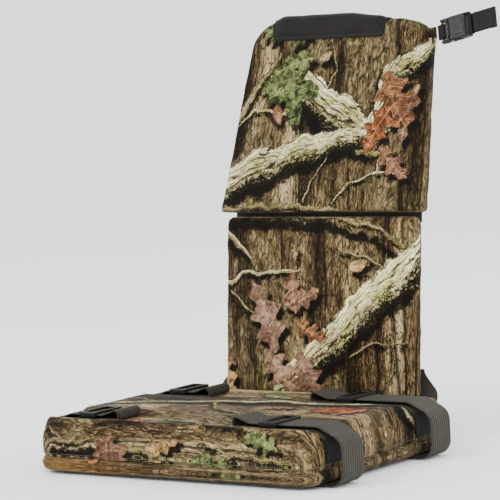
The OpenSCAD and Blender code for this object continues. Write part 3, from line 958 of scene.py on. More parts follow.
@dataclass(frozen=True)
class PrintedCloth:
    """Brushed polyester printed with bark, branches, twigs and leaves."""

    name: str
    wash: Colour = (1.0, 1.0, 1.0)
    ochre: float = 0.0

    def make(self) -> Material:
        """Build the material from the values that a design keeps on the mesh."""
        n = Nodes(self.name)
        cloth, place = n.attribute("cloth"), n.place()
        colour = self.bark(n, cloth)
        colour = self.shadows(n, cloth, colour)
        colour = self.twigs(n, cloth, colour)
        colour = self.branches(n, cloth, colour)
        colour = self.leaves(n, cloth, colour)
        fade = n.band(n.noise(place, 9.0, 3.0), 0.3, 0.7, 0.9, 1.08)
        colour = n.tinted(colour, n.vector(fade, fade, fade))
        colour = n.tinted(colour, self.wash)
        if self.ochre:
            side = n.band(n.plus(n.split(place)[0], n.times(fade, 0.1)), 0.08, -0.08, 0.0, self.ochre)
            colour = n.mix(side, colour, n.mix(0.5, n.tinted(colour, (1.5, 1.1, 0.6)), (0.3, 0.2, 0.085)))
        u, v, _ = n.split(n.scaled(cloth, (1500.0, 1500.0, 1.0)))
        weave = n.times(n.sine(u), n.sine(v))
        deep = n.put("Gamma")
        n.feed(deep.inputs[0], colour)
        deep.inputs[1].default_value = 1.32
        lint, colour = n.noise(place, 900.0, 2.0, 0.7), deep.outputs[0]
        colour = n.mix(n.band(lint, 0.58, 0.8, 0.0, 0.07), colour, (0.5, 0.46, 0.38))
        n.set(Base_Color=colour, Roughness=n.band(lint, 0.2, 0.8, 0.8, 0.95),
              Sheen_Weight=0.03, Sheen_Roughness=0.4, Specular_IOR_Level=0.1)
        n.raise_by(n.noise(place, 38.0, 3.0, 0.5), 0.0012, 0.35)
        n.raise_by(n.noise(place, 150.0, 2.0, 0.6), 0.0004, 0.4)
        n.raise_by(weave, 0.00012, 0.5)
        return n.material

    @staticmethod
    def bark(n: Nodes, cloth: Socket) -> Socket:
        """Trunks with furrowed bark, and dim undergrowth between them."""
        x, y, z = n.split(cloth)
        sway = n.times(n.math("SUBTRACT", n.noise(cloth, 14.0, 3.0), 0.5), 0.018)
        bent = n.vector(n.plus(x, sway), y, z)
        trunks = n.scaled(bent, (19.0, 0.9, 1.0))
        age = n.grain(bent, (24.0, 1.6, 1.0), 2.0, 0.5)
        streaks = n.grain(bent, (410.0, 56.0, 1.0), 6.0, 0.74, 0.3)
        fine = n.grain(cloth, (760.0, 190.0, 1.0), 4.0, 0.8)
        tone = n.plus(age, n.times(streaks, 0.85))
        tone = n.shaken(tone, fine, 0.6)
        trunk = n.ramp(n.band(tone, 0.6, 1.26), (
            (0.0, (0.008, 0.006, 0.002)), (0.2, (0.045, 0.031, 0.015)), (0.4, (0.125, 0.089, 0.048)),
            (0.58, (0.225, 0.168, 0.096)), (0.78, (0.38, 0.3, 0.185)), (1.0, (0.64, 0.54, 0.37))))
        furrow = n.cells(n.scaled(bent, (230.0, 40.0, 1.0)), 1.0)
        trunk = n.mix(n.band(furrow, 0.0, 0.1, 0.8, 0.0), trunk, (0.02, 0.014, 0.007))
        trunk = n.mix(n.band(n.cells(trunks, 1.0), 0.0, 0.055, 0.85, 0.0), trunk, (0.014, 0.01, 0.006))
        brush = n.grain(bent, (150.0, 60.0, 1.0), 7.0, 0.76, 1.0)
        litter = n.ramp(brush, (
            (0.32, (0.01, 0.008, 0.004)), (0.43, (0.07, 0.052, 0.028)), (0.51, (0.18, 0.138, 0.08)),
            (0.6, (0.33, 0.27, 0.165)), (0.7, (0.6, 0.53, 0.37))))
        stems = n.cells(n.scaled(bent, (140.0, 24.0, 1.0)), 1.0)
        litter = n.mix(n.band(stems, 0.0, 0.07, 0.85, 0.0), litter, (0.022, 0.016, 0.008))
        moss = n.band(n.noise(cloth, 21.0, 4.0, 0.65), 0.56, 0.68, 0.0, 0.6)
        litter = n.mix(moss, litter, n.tinted(litter, (0.7, 0.9, 0.52)))
        open_wood = n.band(n.grain(bent, (11.0, 4.0, 1.0), 3.0, 0.6, 0.4), 0.47, 0.54)
        return n.mix(open_wood, trunk, litter)

    @staticmethod
    def shadows(n: Nodes, cloth: Socket, colour: Socket) -> Socket:
        """Deep shade under what lies on the bark."""
        depth, _, _ = n.split(n.attribute("shade"))
        ragged = n.shaken(depth, n.noise(cloth, 120.0, 5.0, 0.7), 0.03)
        return n.mix(n.band(ragged, -0.003, 0.005, 0.96, 0.0), colour, (0.008, 0.006, 0.003))

    @staticmethod
    def rounded(n: Nodes, cloth: Socket, across: Socket, along: Socket, pale: Socket, scale: float) -> Socket:
        """Bark of a round branch, light above and dark below, with cracks along it."""
        way = n.vector(n.times(along, 42.0 * scale), n.times(across, 3.4), 0.3)
        grain = n.noise(way, 1.0, 7.0, 0.76, 0.9)
        flakes = n.noise(cloth, 210.0, 6.0, 0.74, 1.0)
        light = n.plus(n.times(across, 0.16), n.times(grain, 0.95))
        light = n.plus(light, n.times(flakes, 0.75))
        wood = n.ramp(n.band(light, 0.5, 1.16), (
            (0.0, (0.007, 0.006, 0.003)), (0.2, (0.05, 0.04, 0.021)), (0.36, (0.19, 0.16, 0.09)),
            (0.52, (0.43, 0.38, 0.23)), (0.7, (0.66, 0.6, 0.39)), (1.0, (0.9, 0.85, 0.63))))
        patch = n.noise(n.vector(n.times(along, 30.0 * scale), n.times(across, 1.6), 4.0), 1.0, 5.0,
                        0.7, 0.6)
        wood = n.mix(n.band(patch, 0.585, 0.625, 0.0, 0.92), wood, (0.012, 0.01, 0.005))
        moss = n.band(n.noise(cloth, 30.0, 4.0, 0.6), 0.5, 0.62, 0.0, 0.55)
        wood = n.mix(moss, wood, n.tinted(wood, (0.72, 0.8, 0.42)))
        crack = n.cells(n.vector(n.times(along, 9.0 * scale),
                                 n.plus(n.times(across, 4.2), n.times(grain, 1.6)), 1.7), 1.0)
        wood = n.mix(n.band(crack, 0.0, 0.085, 0.92, 0.0), wood, (0.014, 0.011, 0.006))
        below = n.shaken(across, flakes, 2.6)
        wood = n.mix(n.band(below, -0.75, -0.3, 0.93, 0.0), wood, (0.012, 0.009, 0.005))
        dim = n.tinted(wood, (0.34, 0.28, 0.21))
        return n.mix(pale, dim, wood)

    def branches(self, n: Nodes, cloth: Socket, colour: Socket) -> Socket:
        """Thick branches across the print."""
        d, across, along = n.split(n.attribute("branch"))
        pale = n.split(n.attribute("shade"))[1]
        edge = n.shaken(d, n.noise(cloth, 190.0, 5.0, 0.7), 0.017)
        wood = self.rounded(n, cloth, across, along, pale, 1.0)
        wood = n.mix(n.band(edge, -0.0032, -0.0006, 0.0, 0.75), wood, (0.03, 0.022, 0.012))
        return n.mix(n.band(edge, -0.0005, 0.0004, 1.0, 0.0), colour, wood)

    def twigs(self, n: Nodes, cloth: Socket, colour: Socket) -> Socket:
        """Thin twigs across the print."""
        d, across, pale = n.split(n.attribute("twig"))
        edge = n.shaken(d, n.noise(cloth, 320.0, 4.0, 0.7), 0.006)
        wood = self.rounded(n, cloth, across, n.split(cloth)[0], pale, 2.2)
        return n.mix(n.band(edge, -0.0005, 0.0005, 1.0, 0.0), colour, wood)

    @staticmethod
    def leaves(n: Nodes, cloth: Socket, colour: Socket) -> Socket:
        """Fallen and living leaves, with veins."""
        d, vein, hue = n.split(n.attribute("leaf"))
        edge = n.shaken(d, n.noise(cloth, 240.0, 5.0, 0.75), 0.012)
        mottle = n.noise(cloth, 95.0, 6.0, 0.74, 0.8)
        deep = n.ramp(hue, (
            (0.0, (0.012, 0.02, 0.006)), (0.25, (0.04, 0.052, 0.018)), (0.45, (0.11, 0.075, 0.034)),
            (0.55, (0.09, 0.024, 0.008)), (0.65, (0.06, 0.024, 0.012)), (0.82, (0.085, 0.045, 0.03)),
            (1.0, (0.13, 0.08, 0.058))))
        bright = n.ramp(hue, (
            (0.0, (0.17, 0.21, 0.09)), (0.25, (0.33, 0.36, 0.17)), (0.45, (0.52, 0.35, 0.185)),
            (0.55, (0.5, 0.15, 0.045)), (0.65, (0.33, 0.165, 0.088)), (0.82, (0.32, 0.2, 0.145)),
            (1.0, (0.4, 0.28, 0.215))))
        blade = n.mix(n.band(mottle, 0.38, 0.58), deep, bright)
        ribs = n.band(vein, 0.0004, 0.0014, 0.75, 0.0)
        blade = n.mix(ribs, blade, n.mix(0.5, bright, (0.6, 0.5, 0.34)))
        curl = n.band(n.noise(cloth, 30.0, 3.0), 0.44, 0.6, 0.0, 0.55)
        blade = n.mix(curl, blade, deep)
        blade = n.mix(n.band(edge, -0.0022, -0.0003, 0.0, 0.65), blade, (0.02, 0.012, 0.007))
        return n.mix(n.band(edge, -0.0005, 0.0004, 1.0, 0.0), colour, blade)


@dataclass(frozen=True)
class WovenCloth:
    """Coarse plain-woven nylon."""

    name: str
    dark: Colour
    light: Colour
    threads: float = 900.0

    def make(self) -> Material:
        """Build the material: crossing threads, slubs and dust."""
        n = Nodes(self.name)
        place = n.place()
        x, y, z = n.split(n.scaled(place, (2 * math.pi * self.threads / 2,) * 3))
        warp = n.times(n.sine(x), n.sine(n.plus(y, z)))
        slub = n.grain(place, (60.0, 600.0, 600.0), 3.0)
        colour = n.mix(n.band(n.plus(warp, n.times(slub, 1.6)), -0.4, 1.8), self.dark, self.light)
        dust = n.band(n.noise(place, 22.0, 4.0), 0.48, 0.75, 0.0, 0.25)
        colour = n.mix(dust, colour, tuple(c * 1.8 + 0.02 for c in self.light))
        n.set(Base_Color=colour, Roughness=n.band(slub, 0.2, 0.8, 0.74, 0.9), Sheen_Weight=0.15,
              Specular_IOR_Level=0.3)
        n.raise_by(n.noise(place, 45.0, 3.0), 0.001, 0.35)
        n.raise_by(warp, 0.00018, 0.6)
        return n.material


@dataclass(frozen=True)
class Webbing:
    """Ribbed webbing, with a denser selvage at each side."""

    name: str
    dark: Colour
    light: Colour
    rib: float = 0.0052

    def make(self) -> Material:
        """Build the material from the values that a strip keeps along and across itself."""
        n = Nodes(self.name)
        along, across, half = n.split(n.attribute("weave"))
        place = n.place()
        weft = n.sine(n.times(along, 2 * math.pi / 0.0016))
        cord = n.sine(n.times(across, 2 * math.pi / self.rib))
        weave = n.plus(n.times(cord, 0.8), n.times(weft, 0.28))
        rim = n.math("SUBTRACT", half, n.math("ABSOLUTE", across))
        selvage = n.band(rim, 0.0012, 0.003, 1.0, 0.0)
        fibre = n.noise(n.vector(n.times(along, 900.0), n.times(across, 2600.0)), 1.0, 3.0, 0.7)
        # the colour follows the cords and the weft: painted shade in the grooves and painted light on the
        # crowns, with fibre noise on top
        tone = n.band(n.plus(weave, n.times(fibre, 0.9)), -0.7, 1.3)
        colour = n.mix(tone, self.dark, self.light)
        colour = n.mix(n.times(selvage, 0.35), colour, self.dark)
        wear = n.band(n.noise(place, 55.0, 4.0, 0.6), 0.5, 0.72, 0.0, 0.35)
        colour = n.mix(wear, colour, tuple(c * 1.25 for c in self.light))
        n.set(Base_Color=colour, Roughness=n.band(fibre, 0.2, 0.8, 0.62, 0.82), Sheen_Weight=0.02,
              Specular_IOR_Level=0.18)
        n.raise_by(weave, 0.0006, 0.8)
        n.raise_by(n.band(rim, 0.0, 0.0016), 0.0005, 0.5)
        n.raise_by(fibre, 0.0001, 0.5)
        return n.material


@dataclass(frozen=True)
class GrainedVinyl:
    """Soft vinyl with a pebbled grain and worn, shiny high spots."""

    name: str
    dark: Colour = (0.0022, 0.0017, 0.0016)
    light: Colour = (0.01, 0.008, 0.0072)

    def make(self) -> Material:
        """Build the material: pebbles, creases and uneven gloss."""
        n = Nodes(self.name)
        place = n.place()
        pebble = n.cells(place, 620.0)
        cloud = n.noise(place, 30.0, 4.0, 0.6)
        crease = n.grain(place, (70.0, 160.0, 260.0), 4.0, 0.65, 1.0)
        tone = n.plus(n.times(cloud, 0.7), n.times(crease, 0.6))
        colour = n.mix(n.band(tone, 0.45, 0.95), self.dark, self.light)
        colour = n.mix(n.band(pebble, 0.0, 0.1, 0.45, 0.0), colour, (0.01, 0.008, 0.008))
        n.set(Base_Color=colour, Roughness=n.band(cloud, 0.3, 0.7, 0.36, 0.5), Specular_IOR_Level=0.1)
        n.raise_by(crease, 0.0009, 0.5)
        n.raise_by(n.band(pebble, 0.0, 0.22), 0.00022, 0.6)
        return n.material


@dataclass(frozen=True)
class MouldedPlastic:
    """Glass-filled nylon from a spark-textured mould, scuffed by the webbing."""

    name: str
    dark: Colour = (0.004, 0.0038, 0.0034)
    scuffed: Colour = (0.022, 0.021, 0.018)

    def make(self) -> Material:
        """Build the material: spark texture, flow marks and scuffs."""
        n = Nodes(self.name)
        place = n.place()
        spark = n.noise(place, 1500.0, 3.0, 0.7)
        flow = n.noise(place, 60.0, 4.0, 0.6, 1.5)
        scuff = n.grain(place, (180.0, 900.0, 420.0), 4.0, 0.7)
        colour = n.mix(n.band(flow, 0.35, 0.7, 0.0, 0.5), self.dark, tuple(c * 1.8 for c in self.dark))
        colour = n.mix(n.band(scuff, 0.6, 0.74, 0.0, 0.35), colour, self.scuffed)
        n.set(Base_Color=colour, Roughness=n.band(n.plus(flow, scuff), 0.7, 1.3, 0.36, 0.5),
              Specular_IOR_Level=0.25)
        n.raise_by(spark, 0.00006, 0.5)
        n.raise_by(flow, 0.0002, 0.25)
        return n.material


@dataclass(frozen=True)
class Hardboard:
    """Pressed stiffener board."""

    name: str = "stiffener_board"

    def make(self) -> Material:
        """Build the material: pressed fibres."""
        n = Nodes(self.name)
        place = n.place()
        fibre = n.grain(place, (900.0, 300.0, 500.0), 4.0, 0.7)
        colour = n.mix(fibre, (0.045, 0.04, 0.034), (0.12, 0.1, 0.075))
        n.set(Base_Color=colour, Roughness=n.band(fibre, 0.3, 0.7, 0.55, 0.75), Specular_IOR_Level=0.4)
        n.raise_by(fibre, 0.0002, 0.4)
        return n.material


@dataclass(frozen=True)
class SewingThread:
    """Twisted polyester thread."""

    name: str
    colour: Colour

    def make(self) -> Material:
        """Build the material: the twist of the plies."""
        n = Nodes(self.name)
        place = n.place()
        twist = n.noise(place, 2600.0, 2.0, 0.6)
        colour = n.mix(twist, tuple(c * 0.6 for c in self.colour), tuple(c * 1.4 for c in self.colour))
        n.set(Base_Color=colour, Roughness=n.band(twist, 0.3, 0.7, 0.55, 0.75), Specular_IOR_Level=0.4,
              Sheen_Weight=0.2)
        n.raise_by(twist, 0.0001, 0.6)
        return n.material


class Finish(Protocol):
    """Anything that can build a material."""

    def make(self) -> Material:
        """Build the material."""


def made(finish: Finish) -> Material:
    """A field whose material is built when the finishes are first needed."""
    return field(default_factory=finish.make)


@dataclass
class Finishes:
    """Every finish of the seat, made once."""

    seat_print: Material = made(PrintedCloth("seat_print", (1.02, 1.02, 0.98)))
    band_print: Material = made(PrintedCloth("band_print", ochre=0.7))
    lower_print: Material = made(PrintedCloth("lower_print", (1.22, 1.22, 1.16)))
    upper_print: Material = made(PrintedCloth("upper_print", (1.08, 1.09, 1.02)))
    rear_cloth: Material = made(WovenCloth("rear_cloth", (0.04, 0.036, 0.024), (0.115, 0.102, 0.07)))
    base_cloth: Material = made(WovenCloth("base_cloth", (0.016, 0.017, 0.013), (0.062, 0.064, 0.05), 700.0))
    hinge_cloth: Material = made(WovenCloth("hinge_cloth", (0.009, 0.008, 0.005), (0.034, 0.029, 0.019)))
    webbing: Material = made(Webbing("seat_webbing", (0.009, 0.0085, 0.006), (0.05, 0.046, 0.033)))
    # black webbing of the top strap, also used as painted shade inside the seat straps' standing loops
    black_webbing: Material = made(
        Webbing("black_webbing", (0.0022, 0.0021, 0.002), (0.011, 0.0105, 0.0095), 0.003))
    vinyl: Material = made(GrainedVinyl("top_vinyl"))
    plastic: Material = made(MouldedPlastic("moulded_nylon"))
    board: Material = made(Hardboard())
    pale_thread: Material = made(SewingThread("olive_thread", (0.085, 0.076, 0.05)))
    black_thread: Material = made(SewingThread("black_thread", (0.016, 0.016, 0.014)))


def dress(obj: Piece, material: Material) -> Piece:
    """Give a piece one finish."""
    obj.data.materials.clear()
    obj.data.materials.append(material)
    return obj


def set_on(obj: Piece, body: str, slot: str, nodes: Sequence[str] = ()) -> Piece:
    """Attach a piece to the body it rides on and hide the frame nodes it stands for; the slot name is not
    used.

    Cloth that crosses a hinge is given no body here.
    """
    if body:
        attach(obj, body)
    if nodes:
        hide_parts(*nodes)
    LOG.info("%s on %s", obj.name, body or "two bodies")
    return obj


# ---- seat pad


@dataclass
class SeatPad:
    """The seat cushion with its boxing band, base cloth and stitches. Sizes are in millimetres."""

    finishes: Finishes
    swell: float = 7.0
    crown: float = 6.0
    start_in: float = 3.5
    seam_z: float = 22.0
    rest_z: float = 3.8
    pinch: float = 2.6
    strap_half: float = 25.0
    hem: float = 9.0
    button_pitch: float = 74.0

    def __post_init__(self) -> None:
        """Read the seat's size and its straps' places from the frame."""
        low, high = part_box("seat_cover")
        self.half_w, self.half_d, self.top = high.x / MM, high.y / MM, high.z / MM
        straps = map(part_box, ("strap_front_right", "strap_rear_right"))
        self.rows = [(a.y + b.y) / 2 / MM for a, b in straps]

    def beside(self, y: Array) -> Array:
        """Distance of each place from the nearest strap's edge, in millimetres."""
        return np.min([np.abs(y - row) for row in self.rows], axis=0) - self.strap_half

    def cap(self, co: Array) -> Array:
        """Farthest that each point of the cushion may swell, in metres."""
        return np.full(len(co), self.swell * MM)

    def cushion(self) -> Piece:
        """Model, fill and print the cushion."""
        x, y, inset = self.half_w, self.half_d, self.start_in
        obj = block("seat_cushion", [-x + inset, -y + inset, self.rest_z],
                    [x - inset, y - inset, self.top - inset])
        bevel_edges(obj, 25, 5, lambda e, m: runs_along(e, m, 2))
        bevel_edges(obj, 20, 4, lambda e, m: min(m.vertices[i].co.z for i in e.vertices) > 0.06)
        bevel_edges(obj, 5, 2, lambda e, m: max(m.vertices[i].co.z for i in e.vertices) < 0.005)
        plump(obj, 0.006, self.cap)
        self.settle_in(obj)
        SEAT_DESIGN.print_on(obj, self.flat_places(obj))
        return dress(obj, self.finishes.seat_print)

    def settle_in(self, obj: Piece) -> None:
        """Keep the cushion under its straps, crown it between them and draw it in at the seam."""
        co = points_of(obj) / MM
        way = normals_of(obj)
        clear = smooth(self.beside(co[:, 1]), 1.0, 20.0)
        inner = smooth(np.abs(co[:, 0]), 60.0, 20.0)
        clear = np.maximum(clear, inner)
        rear = 0.15 + 0.85 * smooth(co[:, 1], self.half_d - 8.0, self.half_d - 90.0)
        roof = self.top - 0.5 + (self.crown + 0.9 * ripple(co * MM, 0.085, 2.0)) * clear * rear
        rise = smooth(co[:, 2], self.top - 12.0, self.top - 1.0)
        lifted = co[:, 2] + rise * (roof - co[:, 2]) * (way[:, 2] > 0.3)
        co[:, 2] = np.minimum(lifted, roof)
        wall = np.hypot(way[:, 0], way[:, 1])
        loose = smooth(self.beside(co[:, 1]), 0.0, 14.0)
        slack = 0.8 * ripple(co * MM * [1, 1, 0.3], 0.06, 5.0) * wall * loose
        co[:, :2] += way[:, :2] * slack[:, None]
        bulge = 0.2 + 2.6 * smooth(self.beside(co[:, 1]), 0.0, 16.0)
        side_limit = self.half_w - 0.6 + bulge
        co[:, 0] = np.clip(co[:, 0], -side_limit, side_limit)
        front = smooth(np.abs(co[:, 0]), self.half_w - 6, self.half_w - 40)
        co[:, 1] = np.clip(co[:, 1], -self.half_d - 0.5 - 2.4 * front, self.half_d - 0.8)
        draw = self.pinch * np.exp(-(((co[:, 2] - self.seam_z) / 3.2) ** 2)) * wall
        co[:, :2] -= way[:, :2] * draw[:, None]
        co[:, 2] = np.maximum(co[:, 2], self.rest_z)
        place_points(obj, co * MM)

    def flat_places(self, obj: Piece) -> Array:
        """Place of each point on the cloth, laid flat round the seat's edges."""
        co, way = points_of(obj) / MM, normals_of(obj)
        drop = self.top - co[:, 2]
        wall = 1.0 - smooth(np.abs(way[:, 2]), 0.15, 0.9)
        u = co[:, 0] + np.sign(co[:, 0]) * drop * wall * np.abs(way[:, 0])
        v = co[:, 1] + np.sign(co[:, 1]) * drop * wall * np.abs(way[:, 1])
        return np.column_stack([u, v])

    def band(self, cushion: Piece) -> Piece:
        """Wrap the lower boxing band round the cushion, with a rolled seam along its top."""
        obj = twin(cushion, "boxing_band")
        cut(obj, (0.0, 0.0, (self.seam_z - 0.4) * MM), (0, 0, 1))
        co, way = points_of(obj) / MM, normals_of(obj)
        t = np.clip((co[:, 2] - self.rest_z) / (self.seam_z - self.rest_z), 0, 1)
        flat = way[:, :2].copy()
        flat /= np.maximum(np.linalg.norm(flat, axis=1), 1e-6)[:, None]
        near_edge = np.hypot(way[:, 0], way[:, 1]) > 0.25
        tight = smooth(self.beside(co[:, 1]), 0.0, 12.0)
        free = np.where(np.abs(way[:, 0]) > 0.5, tight, 1.0)
        out = (0.35 + 1.3 * free * np.sin(math.pi * t)) * near_edge
        co[:, :2] += flat * out[:, None]
        place_points(obj, co * MM)
        self.keep_wall(obj)
        modify(obj, "SOLIDIFY", thickness=0.7 * MM, offset=0.0)
        co = points_of(obj) / MM
        limit = self.half_w + 0.15 + 2.6 * smooth(self.beside(co[:, 1]), 0.0, 10.0)
        co[:, 0] = np.clip(co[:, 0], -limit, limit)
        place_points(obj, co * MM)
        SEAT_DESIGN.print_on(obj, self.flat_places(obj) + [37.0, 61.0])
        return dress(soften(obj, 60), self.finishes.band_print)

    def keep_wall(self, obj: Piece) -> None:
        """Drop the band's faces that lie under the seat, inside its edge."""
        only(obj)
        inner_w, inner_d = self.half_w - 12, self.half_d - 12
        for face in obj.data.polygons:
            c = face.center / MM
            face.select = abs(c.x) < inner_w and abs(c.y) < inner_d
        bpy.ops.object.mode_set(mode="EDIT")
        bpy.ops.mesh.select_mode(type="FACE")
        bpy.ops.mesh.delete(type="FACE")
        leave_edit()

    def base(self) -> Piece:
        """Lay the base cloth under the seat, padded between the straps' anchors."""
        w, d = self.half_w - self.hem, self.half_d - self.hem
        obj = block("base_cloth", [-w, -d, 2.6], [w, d, 3.7])
        bevel_edges(obj, 20, 5, lambda e, m: runs_along(e, m, 2))
        modify(obj, "REMESH", mode="SHARP", octree_depth=7, scale=0.95, use_remove_disconnected=False)
        co = points_of(obj) / MM
        away = smooth(self.beside(co[:, 1]), 2.0, 14.0)
        away = np.maximum(away, smooth(np.abs(co[:, 0]), self.half_w - 100, self.half_w - 112))
        edge = smooth(np.minimum(w - np.abs(co[:, 0]), d - np.abs(co[:, 1])), 0, 9)
        waves = np.abs(np.sin(co[:, :2] * math.pi / self.button_pitch)) ** 0.35
        quilt = waves[:, 0] * waves[:, 1]
        drop = 2.2 * away * edge * quilt
        lower = co[:, 2] < 3.15
        co[:, 2] = np.where(lower, np.maximum(2.45 - drop, 0.15), 3.6)
        place_points(obj, co * MM)
        return dress(soften(obj, 60), self.finishes.base_cloth)

    def seams(self, cushion: Piece, base: Piece) -> list[Piece]:
        """Sew the top of the boxing and the edge of the base cloth."""
        def ring(inset: float, z: float) -> Array:
            """A closed line round the seat at a height, an inset from its edge."""
            w, d, r = self.half_w - inset, self.half_d - inset, 24.0
            turns = [(w - r, d - r, 0), (-w + r, d - r, 90), (-w + r, -d + r, 180), (w - r, -d + r, 270)]
            points = [
                (x + r * math.cos(math.radians(a + k * 15)), y + r * math.sin(math.radians(a + k * 15)), z)
                for x, y, a in turns for k in range(7)]
            return np.array(points + points[:1]) * MM
        top = sewn_on(cushion, "boxing_stitches", [ring(0.0, self.seam_z + 5.0)], 0.0042, 0.00034)
        low = sewn_on(base, "base_stitches", [ring(15.0, 0.5)], 0.005, 0.0004)
        return [dress(top, self.finishes.pale_thread), dress(low, self.finishes.black_thread)]

    def build(self) -> None:
        """Build the whole pad and set it on the seat."""
        cushion = self.cushion()
        set_on(cushion, "seat", "camo_cloth", ["seat_cover", "seat_foam"])
        band = self.band(cushion)
        set_on(band, "seat", "camo_cloth", ["seat_band"])
        base = self.base()
        set_on(base, "seat", "base_cloth", ["seat_base"])
        for stitches in self.seams(cushion, base):
            set_on(stitches, "seat", "camo_cloth")


# ---- back panels


@dataclass
class BackPanel:
    """A padded back panel, modelled upright in its own frame: X across, Y back, Z up, in millimetres."""

    finishes: Finishes
    body: str
    origin: Vector
    lean: float
    design: Design
    front: float
    back: float
    height: float
    printed: Material
    swell: float = 6.0
    start_in: float = 3.0

    def matrix(self) -> Matrix:
        """Place of the panel's frame in the seat's."""
        return Matrix.Translation(self.origin) @ Matrix.Rotation(math.radians(-self.lean), 4, "X")

    def half_width(self, z: Array) -> Array:
        """Half the panel's width at a height."""
        raise NotImplementedError

    def rough(self) -> Piece:
        """The unfilled pad."""
        raise NotImplementedError

    def trim(self, co: Array, way: Array) -> Array:
        """Shape the filled pad's points, in millimetres."""
        raise NotImplementedError

    def rim_cap(self, co: Array) -> Array:
        """Farthest that each point may swell, in metres: less near the edges."""
        p = co / MM
        side = self.half_width(p[:, 2]) - np.abs(p[:, 0])
        edge = np.minimum(np.minimum(side, p[:, 2]), self.height - p[:, 2])
        return (2.6 + (self.swell - 2.6) * smooth(edge, 2.0, 55.0)) * MM

    def flat_places(self, co: Array, way: Array) -> Array:
        """Place of each point on the cloth, laid flat round the panel's edges."""
        deep = np.maximum(co[:, 1] - self.front, 0.0)
        side = 1.0 - smooth(np.abs(way[:, 1]), 0.15, 0.9)
        u = co[:, 0] + np.sign(co[:, 0]) * deep * side * np.abs(way[:, 0])
        v = co[:, 2] + np.sign(co[:, 2] - self.height / 2) * deep * side * np.abs(way[:, 2])
        return np.column_stack([u, v])

    def cushion(self) -> Piece:
        """Model, fill, shape and print the pad, still in the panel's frame."""
        obj = self.rough()
        plump(obj, 0.0044, self.rim_cap)
        co = self.trim(points_of(obj) / MM, normals_of(obj))
        place_points(obj, co * MM)
        self.design.print_on(obj, self.flat_places(co, normals_of(obj)))
        return dress(obj, self.printed)

    def rear_cloth(self, cushion: Piece) -> Piece:
        """Cover the pad's rear with plain cloth, turned under at its edge."""
        at = (0.0, (self.back - 7.0) * MM, 0.0)
        cloth = skin_of(cushion, self.body + "_rear_cloth", [(at, (0, -1, 0))], 0.15 * MM, 0.7 * MM)
        return dress(cloth, self.finishes.rear_cloth)

    def outline(self, inset: float, y: float) -> Array:
        """A closed line round the panel, an inset from its edge."""
        z = np.linspace(inset, self.height - inset, 40)
        right = np.column_stack([self.half_width(z) - inset, np.full(40, y), z])
        left = right[::-1] * [-1, 1, 1]
        return np.vstack([right, left, right[:1]]) * MM

    def stitches(self, rear: Piece) -> Piece:
        """Sew round the rear cloth."""
        sewn = sewn_on(rear, self.body + "_stitches", [self.outline(9.0, self.back + 3)], 0.0046, 0.00036)
        return dress(sewn, self.finishes.pale_thread)

    def finish(self, pieces: Sequence[Piece]) -> None:
        """Carry finished pieces to the panel's place."""
        for piece in pieces:
            carried(piece, self.matrix())

    def extras(self, cushion: Piece) -> None:
        """Add the pieces that only one panel has."""

    def build(self) -> None:
        """Build the panel and set it on its body."""
        cushion = self.cushion()
        rear = self.rear_cloth(cushion)
        sewn = self.stitches(rear)
        self.extras(cushion)
        self.finish([cushion, rear, sewn])
        part = self.body.removesuffix("_back")
        covers = [part + "_front_cover", part + "_foam"]
        set_on(cushion, self.body, "camo_cloth", covers)
        width = 2 * float(self.half_width(np.array([self.height / 2]))[0]) * MM
        set_on(rear, self.body, "back_cloth", [part + "_rear_cover"])
        set_on(sewn, self.body, "back_cloth")


@dataclass
class LowerPanel(BackPanel):
    """The lower back panel."""

    half: float = 165.0

    def half_width(self, z: Array) -> Array:
        """Half the panel's width, the same all the way up."""
        return np.full(np.shape(z), self.half)

    def rough(self) -> Piece:
        """A slim block with rounded corners and edges."""
        s = self.start_in
        obj = block(self.body + "_cushion", [-self.half + s, self.front + s, s],
                    [self.half - s, self.back - s * 0.6, self.height - s])
        bevel_edges(obj, 8, 3, lambda e, m: runs_along(e, m, 1))
        return bevel_edges(obj, 5.5, 3, lambda e, m: not runs_along(e, m, 1))

    def trim(self, co: Array, way: Array) -> Array:
        """Pucker the side seams, thin the foot and keep clear of the crease."""
        wave = ripple(co * MM * [0.4, 1, 1], 0.05, 1.0)
        side = smooth(np.abs(way[:, 0]), 0.35, 0.9)
        co[:, 0] += np.sign(co[:, 0]) * side * (1.1 * wave - 0.5)
        face = smooth(-way[:, 1], 0.5, 0.9)
        co[:, 1] += face * 0.9 * ripple(co * MM, 0.095, 3.0)
        foot = smooth(co[:, 2], 125.0, 20.0)
        co[:, 1] = np.maximum(co[:, 1], self.front - 4.6 + 4.4 * foot)
        co[:, 1] = np.minimum(co[:, 1], self.back + 2.6 - 2.2 * smooth(co[:, 2], 178, 252) - 1.2 * foot)
        co[:, 0] = np.clip(co[:, 0], -self.half - 2.4, self.half + 2.4)
        co[:, 2] = np.clip(co[:, 2], 0.6, self.height + 0.9)
        return co


